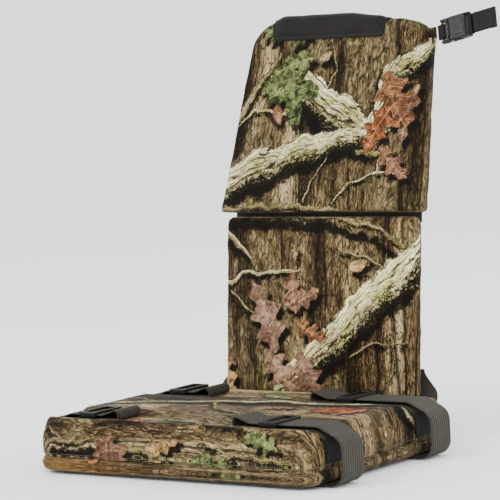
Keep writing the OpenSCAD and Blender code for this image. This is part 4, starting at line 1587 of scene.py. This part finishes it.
@dataclass
class UpperPanel(BackPanel):
    """The upper back panel, with its vinyl wrap and slanting top corner."""

    half_low: float = 175.0
    half_top: float = 153.0
    slope_from: float = 263.5
    slope_in: float = 55.0
    mitre: float = math.tan(math.radians(12.0))

    def half_width(self, z: Array) -> Array:
        """Half the panel's width, narrower towards the top."""
        return self.half_low + (self.half_top - self.half_low) * np.clip(z, 0, self.height) / self.height

    def rough(self) -> Piece:
        """A tapered block with its top corners cut and rounded and its foot mitred."""
        s = self.start_in
        obj = block(self.body + "_cushion", [-self.half_low + s, self.front + s, 0],
                    [self.half_low - s, self.back - s * 0.6, self.height - s])
        co = points_of(obj) / MM
        top = co[:, 2] > 50
        co[:, 0] = np.where(top, np.sign(co[:, 0]) * (self.half_top - s), co[:, 0])
        co[:, 2] = np.where(top, co[:, 2], 1.5 + co[:, 1] * self.mitre + s * 0.7)
        place_points(obj, co * MM)
        corner = np.array([self.half_top - s, 0.0, self.slope_from - s * 0.6]) * MM
        rise = self.height - self.slope_from
        cut(obj, corner, (rise, 0.0, self.slope_in), fill=True)
        def rounds(low: float, high: float, z: float) -> Chooser:
            """Choose the edges through the panel in a stretch of X, above a height."""
            def chosen(edge: Edge, mesh: Mesh) -> bool:
                """Whether an edge is one of them."""
                p = mesh.vertices[edge.vertices[0]].co / MM
                return runs_along(edge, mesh, 1) and low < p.x < high and p.z > z
            return chosen
        bevel_edges(obj, 36, 6, rounds(-170, -130, 200))
        bevel_edges(obj, 22, 4, rounds(80, 130, 200))
        bevel_edges(obj, 9, 4, rounds(140, 170, 200))
        bevel_edges(obj, 8, 3, lambda e, m: runs_along(e, m, 1) and m.vertices[e.vertices[0]].co.z < 0.05)
        return bevel_edges(obj, 6, 3, lambda e, m: not runs_along(e, m, 1) and self.on_rim(e, m))

    def on_rim(self, edge: Edge, mesh: Mesh) -> bool:
        """Whether an edge bounds the front or the rear face."""
        a, b = (mesh.vertices[i].co.y / MM for i in edge.vertices)
        return abs(a - b) < 0.5

    def trim(self, co: Array, way: Array) -> Array:
        """Roll the lower lip forward, pucker the seams and fold the cloth towards the buckle corner."""
        side = smooth(np.abs(way[:, 0]), 0.35, 0.9)
        co[:, 0] += np.sign(co[:, 0]) * side * (0.9 * ripple(co * MM * [0.4, 1, 1], 0.07, 6.0) - 0.4)
        face = smooth(-way[:, 1], 0.5, 0.9)
        co[:, 1] += face * 0.9 * ripple(co * MM, 0.11, 8.0)
        middle = 0.5 * (self.front + self.back)
        lip = np.exp(-(((co[:, 2] - 6.0) / 9.0) ** 2)) * smooth(co[:, 1], middle, self.front)
        co[:, 1] -= 2.0 * lip
        co[:, 2] -= 3.4 * lip * smooth(co[:, 2], 14.0, -2.0)
        a, b = np.array([88.0, 226.0]), np.array([158.0, 270.0])
        way_to = (b - a) / np.linalg.norm(b - a)
        rel = co[:, [0, 2]] - a
        off = rel[:, 1] * way_to[0] - rel[:, 0] * way_to[1]
        on = smooth(rel @ way_to, -10.0, 30.0)
        fold = 2.6 * np.exp(-((off / 4.0) ** 2)) - 1.5 * np.exp(-(((off - 9.0) / 7.0) ** 2))
        co[:, 1] += face * on * fold
        co[:, 1] = np.maximum(co[:, 1], self.front - 5.0)
        co[:, 1] = np.minimum(co[:, 1], self.back + 2.6 - 2.2 * smooth(co[:, 2], 80, 8))
        limit = self.half_width(co[:, 2]) + 1.8
        co[:, 0] = np.clip(co[:, 0], -limit, limit)
        x = co[:, 0]
        drop = 8.0 * smooth(x, 10.0, 85.0) * smooth(x, 150.0, 112.0) + 9.0 * smooth(x, -92.0, -150.0)
        top = self.height + 1.8 * np.exp(-(((x + 30.0) / 60.0) ** 2))
        co[:, 2] = np.minimum(co[:, 2], top) - drop * smooth(co[:, 2], 190.0, self.height)
        return co

    def extras(self, cushion: Piece) -> None:
        """Add the vinyl wrap with its two rows of stitches."""
        low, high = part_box("top_wrap")
        left, right = low.x, high.x
        bottom = (self.height - 40.0) * MM
        planes = [((left, 0, 0), (-1, 0, 0)), ((right, 0, 0), (1, 0, 0)), ((0, 0, bottom), (0, 0, -1)),
                  ((left, 0, bottom + 0.008), (-1, 0, -1)), ((right, 0, bottom + 0.003), (1, 0, -1))]
        wrap = skin_of(cushion, "vinyl_wrap", planes, 1.15 * MM, 1.1 * MM)
        co, way = points_of(wrap) / MM, normals_of(wrap)
        hem = np.exp(-(((co[:, 2] - bottom / MM - 4.0) / 1.6) ** 2))
        ends = smooth(np.minimum(co[:, 0] - left / MM, right / MM - co[:, 0]), 0.0, 16.0)
        above = smooth(co[:, 2], bottom / MM, bottom / MM + 16.0)
        puff = 2.2 * ends * above * (1.0 + 0.4 * ripple(co * MM, 0.05, 3.0))
        outer = smooth(np.abs(co[:, 1] - (self.front + self.back) / 2), 2.0, 9.0)
        co += way * (puff * outer - 0.5 * hem)[:, None]
        place_points(wrap, co * MM)
        modify(wrap, "BEVEL", width=0.25 * MM, segments=1, limit_method="ANGLE", angle_limit=math.radians(55))
        dress(soften(wrap, 50), self.finishes.vinyl)
        front_line = np.array([(left / MM + 7, self.front - 6, bottom / MM + 4),
                               (right / MM - 4, self.front - 6, bottom / MM + 4)]) * MM
        back_line = front_line * [1, 0, 1] + [0, (self.back + 4) * MM, 0]
        sewn = dress(sewn_on(wrap, "wrap_stitches", [front_line, back_line], 0.004, 0.00034),
                     self.finishes.black_thread)
        self.finish([wrap, sewn])
        set_on(wrap, self.body, "vinyl", ["top_wrap"])
        set_on(sewn, self.body, "vinyl")


# ---- cloth that crosses the hinges


@dataclass
class HingeCloth:
    """The sewn cloth at the seat's back edge and at the crease. Sizes are in millimetres."""

    finishes: Finishes
    half: float = 163.0

    def strip(self, name: str, bends: Sequence[Bend], half: float, thick: float,
              flare: float = 0.0) -> Piece:
        """A strip of cloth across the seat, along a path of (y, z, radius), a little gathered.

        Args:
            name: Name of the strip.
            bends: Corners of the path in the YZ plane.
            half: Half the strip's length from side to side.
            thick: Thickness of the cloth.
            flare: How much wider the strip is at its lower end.

        Returns:
            The strip.
        """
        obj = ribbon(name, rounded_path(bends, 2.5), 2 * half, 90, thick)
        co = points_of(obj) / MM
        co = np.column_stack([-co[:, 1], co[:, 0], co[:, 2]])
        t = (co[:, 2] - co[:, 2].min()) / np.ptp(co[:, 2])
        co[:, 0] *= 1 + flare / half * smooth(t, 1.0, 0.5)
        gather = 0.35 * np.sin(co[:, 0] / 5.3) + 0.25 * np.sin(co[:, 0] / 2.9 + 1.0)
        co[:, 1:] += gather[:, None] * [0.6, 0.4]
        place_points(obj, co * MM)
        return dress(obj, self.finishes.hinge_cloth)

    def build(self) -> None:
        """Build both cloths across their joints."""
        seat_low, seat_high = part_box("seat_cover")
        hinge, crease = joint_place("back_fold") / MM, joint_place("upper_fold") / MM
        wall = seat_high.y / MM
        y, z = hinge.y, hinge.z
        seat_cloth = self.strip("seat_hinge_cloth", [
            (wall + 0.9, z - 34, 0), (wall + 0.9, z - 6, 4), (y + 1.5, z + 0.4, 3), (y + 4.5, z - 1.6, 3),
            (y + 27, z - 3.6, 2.5), (y + 32.4, z + 12, 6), (y + 36.6, z + 42, 0)], self.half, 0.9, 24.0)
        set_on(seat_cloth, "", "base_cloth", ["seat_hinge"])
        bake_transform(seat_cloth)
        y, z = crease.y, crease.z
        lean = math.radians(11.5)
        lean_y, lean_z = math.sin(lean), math.cos(lean)
        def rear(up: float, off: float) -> tuple[float, float]:
            """A place up from the crease and off the rear covers."""
            return y + up * lean_y + off * lean_z, z + up * lean_z - off * lean_y
        crease_cloth = self.strip("crease_cloth", [
            (*rear(-12, 0.9), 0), (*rear(-5, 0.4), 6), (*rear(0, -0.6), 4), (*rear(5, 0.4), 6),
            (*rear(12, 0.9), 0)], self.half - 3, 0.7)
        set_on(crease_cloth, "", "base_cloth", ["crease_binding"])
        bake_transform(crease_cloth)


# ---- seat straps


@dataclass
class SeatStraps:
    """The four webbing straps of the seat with their sliders. Sizes are in millimetres."""

    finishes: Finishes
    gap: float = 0.3
    web_w: float = 50.0
    web_t: float = 2.0
    bar_t: float = 3.0
    slider_l: float = 28.0
    cheek_w: float = 4.6
    centre_bar_l: float = 7.0
    outer_bar_l: float = 6.0
    anchor: float = 95.0
    loop_out: float = 25.0

    def __post_init__(self) -> None:
        """Read the seat's size from the frame and work out the webbing's layers."""
        _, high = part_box("seat_cover")
        self.side_x, self.top = high.x / MM, high.z / MM
        self.low = self.gap + self.web_t / 2
        self.bar_z = self.gap + self.web_t + self.gap
        self.high = self.bar_z + self.bar_t + self.gap + self.web_t / 2
        self.outer_z = self.high + self.web_t / 2 + self.gap
        self.slider_top = self.outer_z + self.bar_t

    def tail(self, fold: float) -> list[Bend]:
        """Bends of a folded tail that rises from the seat."""
        return [(-(fold - 28), self.top + self.high, 18), (-(fold - 3), self.top + 16, 5),
                (-fold, self.top + self.low, 5)]

    def path(self, side: float, fold: float) -> Array:
        """A strap's path in its own plane, from its sewn end to its free end."""
        top, low, high = self.top, self.low, self.high
        start = [(-self.anchor, self.web_t / 2, 0)]
        if side > 0:
            bends = start + [(self.loop_out, self.web_t / 2, 20), (self.loop_out, top - 10, 20),
                             (-10, top + high, 18)]
            bends += self.tail(fold) + [(low, top + low, 20 + low), (low, 30, 0)]
        else:
            bends = start + [(low, self.web_t / 2, 4), (low, top + low, 20 + low), (-26, top + low, 18),
                             (-38, top + high, 18)]
            bends += self.tail(fold) + [(-44, top + low, 0)]
        return rounded_path(bends, 1.6) * [side, 1] + [side * self.side_x, 0]

    def strap(self, node: str) -> Piece:
        """Lay one strap along its path."""
        low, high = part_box(node)
        side = 1.0 if low.x + high.x > 0 else -1.0
        fold = self.side_x - (low.x if side > 0 else -high.x) / MM - self.web_t / 2
        obj = ribbon(node.replace("strap", "seat_strap"), self.path(side, fold), self.web_w, 10, self.web_t)
        carried(obj, Matrix.Translation((0, (low.y + high.y) / 2, 0)))
        dress(obj, self.finishes.webbing)
        # the standing loop gets painted shade inside
        if side > 0:
            self.paint_loop_shade(obj)
        return obj

    def paint_loop_shade(self, obj: Piece) -> None:
        """Paint the inside of a standing loop dark: the faces along the seat's wall and inside the bend take
        the black webbing, partly as a dark inner layer of webbing and partly as painted shade.
        """
        obj.data.materials.append(self.finishes.black_webbing)
        for face in obj.data.polygons:
            x, z = face.center.x / MM - self.side_x, face.center.z / MM
            on_wall = x < 9.0 and 4.0 < z < self.top - 6.0
            inside = x > 0.0 and face.normal.x * (x - 11.0) + face.normal.z * (z - self.top / 2) * 0.35 < 0.0
            # painted shade: faces on the seat's wall and inside the loop take the black webbing
            face.material_index = int(x > -1.0 and (on_wall or inside))

    def anchor_stitches(self, node: str) -> Piece:
        """Sew a crossed box through a strap's anchor under the seat."""
        low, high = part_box(node)
        side = 1.0 if low.x + high.x > 0 else -1.0
        y = (low.y + high.y) / 2 / MM
        x0, x1 = side * (self.side_x - self.anchor + 4), side * (self.side_x - self.anchor + 46)
        a, b, c, d = (x0, y - 20, 0), (x1, y - 20, 0), (x1, y + 20, 0), (x0, y + 20, 0)
        lines = [np.array(line, float) * MM for line in ((a, b), (b, c), (c, d), (d, a), (a, c), (b, d))]
        spots, ways = zip(*(evenly(line, 3.4 * MM) for line in lines))
        spots, ways = np.vstack(spots), np.vstack(ways)
        out = np.tile([0.0, 0.0, -1.0], (len(spots), 1))
        sewn = thread(node.replace("strap", "anchor_stitches"), spots, ways, out, 2.6 * MM, 0.42 * MM)
        return dress(sewn, self.finishes.pale_thread)

    def bar(self, name: str, x: float, length: float, z: float, half: float) -> Piece:
        """A slider's bar, rounded along its edges."""
        bar = block(name, [x - length / 2, -half, z], [x + length / 2, half, z + self.bar_t])
        return bevel_edges(bar, 0.95, 3, lambda e, m: runs_along(e, m, 1))

    def slider(self) -> Piece:
        """Model one slider at the middle of the seat: two cheeks, two outer bars and a toothed middle bar."""
        half = self.web_w / 2 + self.gap + self.cheek_w
        inner = half - self.cheek_w
        bottom, top = self.bar_z, self.slider_top
        body = self.bar("slider", 0, self.centre_bar_l, bottom, half - 1)
        for x in (-2.1, 0.0, 2.1):
            groove = block("groove", [x - 0.35, -inner * 0.94, bottom + self.bar_t - 0.5],
                           [x + 0.35, inner * 0.94, bottom + self.bar_t + 1])
            carve(body, groove)
        for side in (-1, 1):
            x = side * (self.slider_l - self.outer_bar_l) / 2
            bar = self.bar("outer_bar", x, self.outer_bar_l, self.outer_z, half - 1)
            dish = block("dish", [x - 1.3, -(inner - 3), top - 0.45], [x + 1.3, inner - 3, top + 1])
            bevel_edges(dish, 1.2, 4, lambda e, m: runs_along(e, m, 2))
            carve(bar, dish)
            carve(body, bar, "UNION")
        for side in (-1, 1):
            low, high = sorted((side * inner, side * half))
            cheek = block("cheek", [-self.slider_l / 2, low, bottom], [self.slider_l / 2, high, top])
            bevel_edges(cheek, 3.0, 5, lambda e, m: runs_along(e, m, 1))
            bevel_edges(cheek, 0.7, 2, lambda e, m: not runs_along(e, m, 1)
                        and abs(m.vertices[e.vertices[0]].co.y - m.vertices[e.vertices[1]].co.y) < 1e-6)
            carve(body, cheek, "UNION")
        carried(body, Matrix.Translation((0, 0, self.top * MM)))
        return dress(soften(body, 32), self.finishes.plastic)

    def build(self) -> None:
        """Build the straps and set a slider on each."""
        model = self.slider()
        for place in ("front_right", "rear_right", "front_left", "rear_left"):
            strap = self.strap("strap_" + place)
            set_on(strap, "seat", "webbing", ["strap_" + place])
            set_on(self.anchor_stitches("strap_" + place), "seat", "webbing")
            low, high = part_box("slider_" + place)
            slider = twin(model, "slider_piece_" + place)
            carried(slider, Matrix.Translation(((low.x + high.x) / 2, (low.y + high.y) / 2, 0)))
            set_on(slider, place + "_slider", "black_plastic", ["slider_" + place])
        bpy.data.objects.remove(model, do_unlink=True)


# ---- top strap


@dataclass
class TopStrap:
    """The short strap at the top corner: cloth wedge, loop, side-release buckle and hemmed webbing.

    Its frame has X along the strap, Y through it and Z across it, in millimetres from its pivot.
    """

    finishes: Finishes
    panel: UpperPanel
    rise: float = 13.0
    buckle_w: float = 36.0
    buckle_t: float = 11.0
    bar_x: float = 9.0
    plug_x: float = 14.0
    plug_end: float = 20.0
    root_x: float = 19.5
    root_z: float = 11.5
    socket_x: float = 20.6
    socket_end: float = 47.6
    strap_bar_x: float = 52.6
    strap_end: float = 94.6
    web_w: float = 30.0

    def matrix(self) -> Matrix:
        """Place of the strap's frame in the seat's."""
        turn = self.panel.matrix().to_3x3().to_4x4() @ Matrix.Rotation(math.radians(-self.rise), 4, "Y")
        return Matrix.Translation(joint_place("strap_swing")) @ turn

    def box(self, name: str, x: tuple[float, float], y: tuple[float, float], z: tuple[float, float],
            round_by: float = 0.0, steps: int = 2) -> Piece:
        """A block in the strap's frame with all its edges rounded."""
        obj = block(name, *zip(x, y, z))
        return bevel_edges(obj, round_by, steps) if round_by else obj

    def rod(self, name: str, x: float, radius: float, half: float, axis: str = "Z", z: float = 0.0) -> Piece:
        """A round bar in the strap's frame with rounded ends."""
        obj = added(name, bpy.ops.mesh.primitive_cylinder_add, vertices=28, radius=radius * MM,
                    depth=2 * half * MM, location=(x * MM, 0, z * MM),
                    rotation=(math.pi / 2 if axis == "Y" else 0.0, 0, 0))
        return bevel_edges(obj, 0.25, 2, lambda e, m: not runs_along(e, m, 2 if axis == "Z" else 1))

    def web(self, name: str, bends: Sequence[Bend], width: float, thick: float,
            material: Material) -> Piece:
        """A strip of webbing along a path of (x, y, radius) in the strap's frame."""
        obj = ribbon(name, rounded_path(bends, 1.1), width, 8, thick)
        co = points_of(obj)
        place_points(obj, np.column_stack([co[:, 0], co[:, 2], -co[:, 1]]))
        return dress(obj, material)

    def plug(self) -> Piece:
        """The plug: bar, side arms, ribbed block and slotted tongue."""
        half, t = self.buckle_w / 2, (self.buckle_t - 3) / 2
        obj = self.box("buckle_plug_piece", (self.plug_x, self.plug_end), (-t, t), (-half, half), 1.0, 3)
        for side in (-1, 1):
            low, high = sorted((side * (half - 4), side * half))
            carve(obj, self.box("arm", (self.bar_x - 2.4, self.plug_end - 1), (-t + 0.4, t - 0.4),
                                (low, high), 0.9), "UNION")
        carve(obj, self.rod("bar", self.bar_x, 1.9, half - 1.5), "UNION")
        tongue = self.box("tongue", (self.plug_end - 1, 40), (-1.9, 1.9), (-4.9, 4.9), 0.6)
        carve(tongue, self.box("slot", (24, 36), (-5, 5), (-1.4, 1.4), 0.5))
        carve(obj, tongue, "UNION")
        for z in (-12.0, -6.0, 0.0, 6.0, 12.0):
            for y in (-t, t):
                gap = self.box("rib_gap", (15.4, 18.6), (y - 0.45, y + 0.45), (z - 1.7, z + 1.7), 0.15, 1)
                carve(obj, gap)
        for side in (-1, 1):
            carve(obj, self.rod("root_seat", self.root_x, 2.15, 9, "Y", side * self.root_z))
        return dress(soften(obj, 32), self.finishes.plastic)

    def prong(self, side: float, name: str) -> Piece:
        """A prong: root, springy arm and a ribbed thumb pad."""
        z = side * self.root_z
        x = self.root_x
        obj = self.box(name, (x, x + 21), (-2.15, 2.15), (z - 1.45, z + 1.45), 0.55)
        carve(obj, self.rod("root", x, 1.75, 2.1, "Y", z), "UNION")
        low, high = sorted((z + side * 1.0, side * (self.buckle_w / 2 - 0.05)))
        pad = self.box("pad", (x + 8.1, x + 18.9), (-2.15, 2.15), (low, high), 1.3, 4)
        for k in range(4):
            at = x + 10.2 + 2.2 * k
            carve(pad, self.box("grip", (at - 0.4, at + 0.4), (-3, 3),
                                tuple(sorted((side * 17.45, side * 19)))))
        carve(obj, pad, "UNION")
        return dress(soften(obj, 32), self.finishes.plastic)

    def socket(self) -> Piece:
        """The socket: a hollow body with two side windows, a raised field on each face and a ladder bar."""
        half, t = self.buckle_w / 2, self.buckle_t / 2
        x, end = self.socket_x, self.socket_end
        obj = self.box("buckle_socket_piece", (x, end), (-t, t), (-half, half), 1.9, 4)
        for side in (-1, 1):
            low, high = sorted((side * (half - 2.1), side * half))
            carve(obj, self.box("ladder", (end - 2, self.strap_bar_x + 1.8), (-t + 1.6, t - 1.6),
                                (low, high), 0.6), "UNION")
        carve(obj, self.box("hollow", (x - 2, end - 1.5), (-4, 4), (-half + 1.5, half - 1.5), 0.8))
        window = (self.root_x + 6.8, self.root_x + 20.2)
        carve(obj, self.box("windows", window, (-4, 4), (-half - 2, half + 2), 1.6, 3))
        for y in (-t, t):
            rim = self.box("field", (x + 3, end - 3), (y - 0.4, y + 0.4), (-half + 6, half - 6), 0.35, 1)
            carve(rim, self.box("inner_field", (x + 4.4, end - 4.4), (y - 1, y + 1),
                                (-half + 7.4, half - 7.4)))
            carve(obj, rim)
            for at in (x + 8, x + 12, x + 16):
                carve(obj, self.box("line", (at, at + 1.2), (y - 0.3, y + 0.3), (-6, 6)))
        carve(obj, self.rod("ladder_bar", self.strap_bar_x, 1.75, half - 1.2), "UNION")
        return dress(soften(obj, 32), self.finishes.plastic)

    def wedge(self) -> Piece:
        """The printed cloth wedge between the panel's corner and the loop."""
        obj = block("corner_wedge", [-13, -1.5, -11], [-1.9, 1.5, 11])
        co = points_of(obj) / MM
        inner = co[:, 0] < -5
        co[:, 2] = np.where(inner, np.where(co[:, 2] > 0, 11.2, -17.6), co[:, 2])
        place_points(obj, co * MM)
        bevel_edges(obj, 0.7, 2)
        only(obj)
        obj.data.remesh_voxel_size = 0.0011
        bpy.ops.object.voxel_remesh()
        co = points_of(obj) / MM
        swell = smooth(np.abs(co[:, 2]), 16, 4) * smooth(co[:, 0], -1.9, -5)
        co[:, 1] += np.sign(co[:, 1]) * 0.5 * swell + 0.25 * np.sin(co[:, 2] / 2.2) * smooth(co[:, 0], -2, -6)
        place_points(obj, co * MM)
        UPPER_DESIGN.print_on(obj, np.column_stack([co[:, 0] + 161, co[:, 2] + 258]))
        return dress(soften(obj, 60), self.finishes.upper_print)

    def bar_tacks(self) -> Piece:
        """Dense stitches across the loop and across the hem."""
        end = self.strap_end
        rows = [(x, 9.6, side * 2.05, side) for side in (-1.0, 1.0) for x in (1.8, 3.2)]
        rows += [(end - back, 13.4, 1.0 + side * 2.05, side) for side in (-1.0, 1.0) for back in (8.6, 2.0)]
        rows += [(60.0, 13.4, -1.05, -1.0), (62.0, 13.4, -1.05, -1.0), (60.0, 13.4, 1.05, 1.0)]
        spots, ways, outs = [], [], []
        for x, half, y, out in rows:
            spot, way = evenly(np.array([(x, y, -half), (x, y, half)]) * MM, 2.3 * MM)
            spots.append(spot)
            ways.append(way)
            outs.append(np.tile([0.0, out, 0.0], (len(spot), 1)))
        spots, ways, outs = map(np.vstack, (spots, ways, outs))
        obj = thread("top_strap_stitches", spots, ways, outs, 1.8 * MM, 0.3 * MM)
        return dress(obj, self.finishes.black_thread)

    def build(self) -> None:
        """Build the top strap and set its pieces on their bodies."""
        r, x = 3.1, self.bar_x
        loop = self.web("tab_webbing", [
            (1.4, 0.8, 0), (x - 4, 1.0, 3), (x, r + 0.1, 2.2), (x + r + 0.4, r + 0.1, r),
            (x + r + 0.4, -r - 0.1, r), (x, -r - 0.1, 2.2), (x - 4, -1.0, 3), (1.4, -0.8, 0)],
            22, 1.3, self.finishes.black_webbing)
        x, end = self.strap_bar_x, self.strap_end
        strap = self.web("top_webbing", [
            (end - 10, 2.05, 0), (end - 1.2, 2.05, 1.0), (end - 1.2, 0, 1.0), (x + 7, 0, 4), (x + 1, r, 2.4),
            (x - r, r, r - 0.1), (x - r, -r, r - 0.1), (x + 0.5, -r, 1.6), (x + 3.2, -1.4, 0)],
            self.web_w, 1.8, self.finishes.black_webbing)
        upper, lower = (self.prong(side, f"buckle_prong_{word}_piece")
                        for side, word in ((1.0, "upper"), (-1.0, "lower")))
        pieces = [
            (self.wedge(), "upper_back", "camo_cloth", "corner_tab"),
            (loop, "top_strap_link", "black_webbing", "tab_loop"),
            (self.plug(), "top_strap_link", "black_plastic", "buckle_plug"),
            (upper, "upper_prong", "black_plastic", "buckle_prong_upper"),
            (lower, "lower_prong", "black_plastic", "buckle_prong_lower"),
            (self.socket(), "top_strap_link", "black_plastic", "buckle_socket"),
            (strap, "top_strap_link", "black_webbing", "top_strap"),
            (self.bar_tacks(), "top_strap_link", "black_webbing", None),
        ]
        for obj, body, slot, node in pieces:
            carried(obj, self.matrix())
            set_on(obj, body, slot, [node] if node else [])


# ---- studio


@dataclass
class Studio:
    """A pale floor, soft light and the camera."""

    azimuth: float = 35.23
    elevation: float = 4.7
    roll: float = -2.95
    distance: float = 3.4956
    lens: float = 184.2
    target: Vector = field(default_factory=lambda: Vector((0.0215, 0.008, 0.2896)))

    def camera(self) -> None:
        """Set up the camera."""
        a, e, r = (math.radians(v) for v in (self.azimuth, self.elevation, self.roll))
        back = Vector((math.sin(a) * math.cos(e), -math.cos(a) * math.cos(e), math.sin(e)))
        right = Vector((math.cos(a), math.sin(a), 0.0))
        up = back.cross(right)
        right, up = right * math.cos(r) + up * math.sin(r), up * math.cos(r) - right * math.sin(r)
        data = bpy.data.cameras.new("camera")
        data.lens, data.sensor_width, data.clip_end = self.lens, 36.0, 50.0
        cam = bpy.data.objects.new("camera", data)
        turn = Matrix((right, up, back)).transposed().to_4x4()
        cam.matrix_world = Matrix.Translation(self.target + back * self.distance) @ turn
        SCENE.collection.objects.link(cam)
        bpy.context.scene.camera = cam

    def lamp(self, name: str, place: Colour, size: float, power: float, colour: Colour) -> None:
        """Add a soft square lamp that faces the backrest."""
        data = bpy.data.lights.new(name, "AREA")
        data.size, data.energy, data.color = size, power, colour
        obj = bpy.data.objects.new(name, data)
        obj.location = place
        obj.rotation_euler = (Vector((0, 0, 0.25)) - Vector(place)).to_track_quat("-Z", "Y").to_euler()
        SCENE.collection.objects.link(obj)

    def floor(self) -> None:
        """Lay the floor just under the seat."""
        obj = added("floor", bpy.ops.mesh.primitive_plane_add, size=30.0, location=(0, 0, -0.0015))
        n = Nodes("pale_floor")
        cloud = n.noise(n.place(), 1.5, 2.0)
        n.set(Base_Color=n.mix(cloud, (0.95,) * 3, (0.97,) * 3), Roughness=0.9, Specular_IOR_Level=0.1)
        dress(obj, n.material)

    def build(self) -> None:
        """Light the floor and the seat."""
        self.camera()
        self.floor()
        self.lamp("key", (-1.6, -2.6, 2.6), 1.6, 75.0, (1.0, 0.98, 0.95))
        self.lamp("fill", (2.8, -1.8, 1.4), 2.4, 24.0, (0.96, 0.98, 1.0))
        self.lamp("rear", (0.6, 2.6, 2.2), 2.0, 30.0, (1.0, 1.0, 1.0))
        world = bpy.data.worlds.new("world")
        world.use_nodes = True
        world.node_tree.nodes["Background"].inputs[0].default_value = (1.0, 1.0, 1.0, 1.0)
        world.node_tree.nodes["Background"].inputs[1].default_value = 1.9
        bpy.context.scene.world = world


def dress_boards(finishes: Finishes) -> None:
    """Give the frame's hidden boards their finish."""
    for name in ("seat_board", "lower_board", "upper_board"):
        dress(frame["nodes"][name], finishes.board)


def main() -> None:
    """Build the seat around its frame."""
    logging.basicConfig(level=logging.INFO, format="%(message)s")
    Studio().build()
    finishes = Finishes()
    dress_boards(finishes)
    SeatPad(finishes).build()
    lower = LowerPanel(finishes, "lower_back", joint_place("back_fold"), 5.5, LOWER_DESIGN,
                       3.5, 28.5, 262.0, finishes.lower_print)
    upper = UpperPanel(finishes, "upper_back", joint_place("upper_fold"), 17.5, UPPER_DESIGN,
                       -29.5, -1.5, 293.5, finishes.upper_print)
    lower.build()
    upper.build()
    HingeCloth(finishes).build()
    SeatStraps(finishes).build()
    TopStrap(finishes, upper).build()
    bpy.context.view_layer.update()


if __name__ == "__main__":
    main()
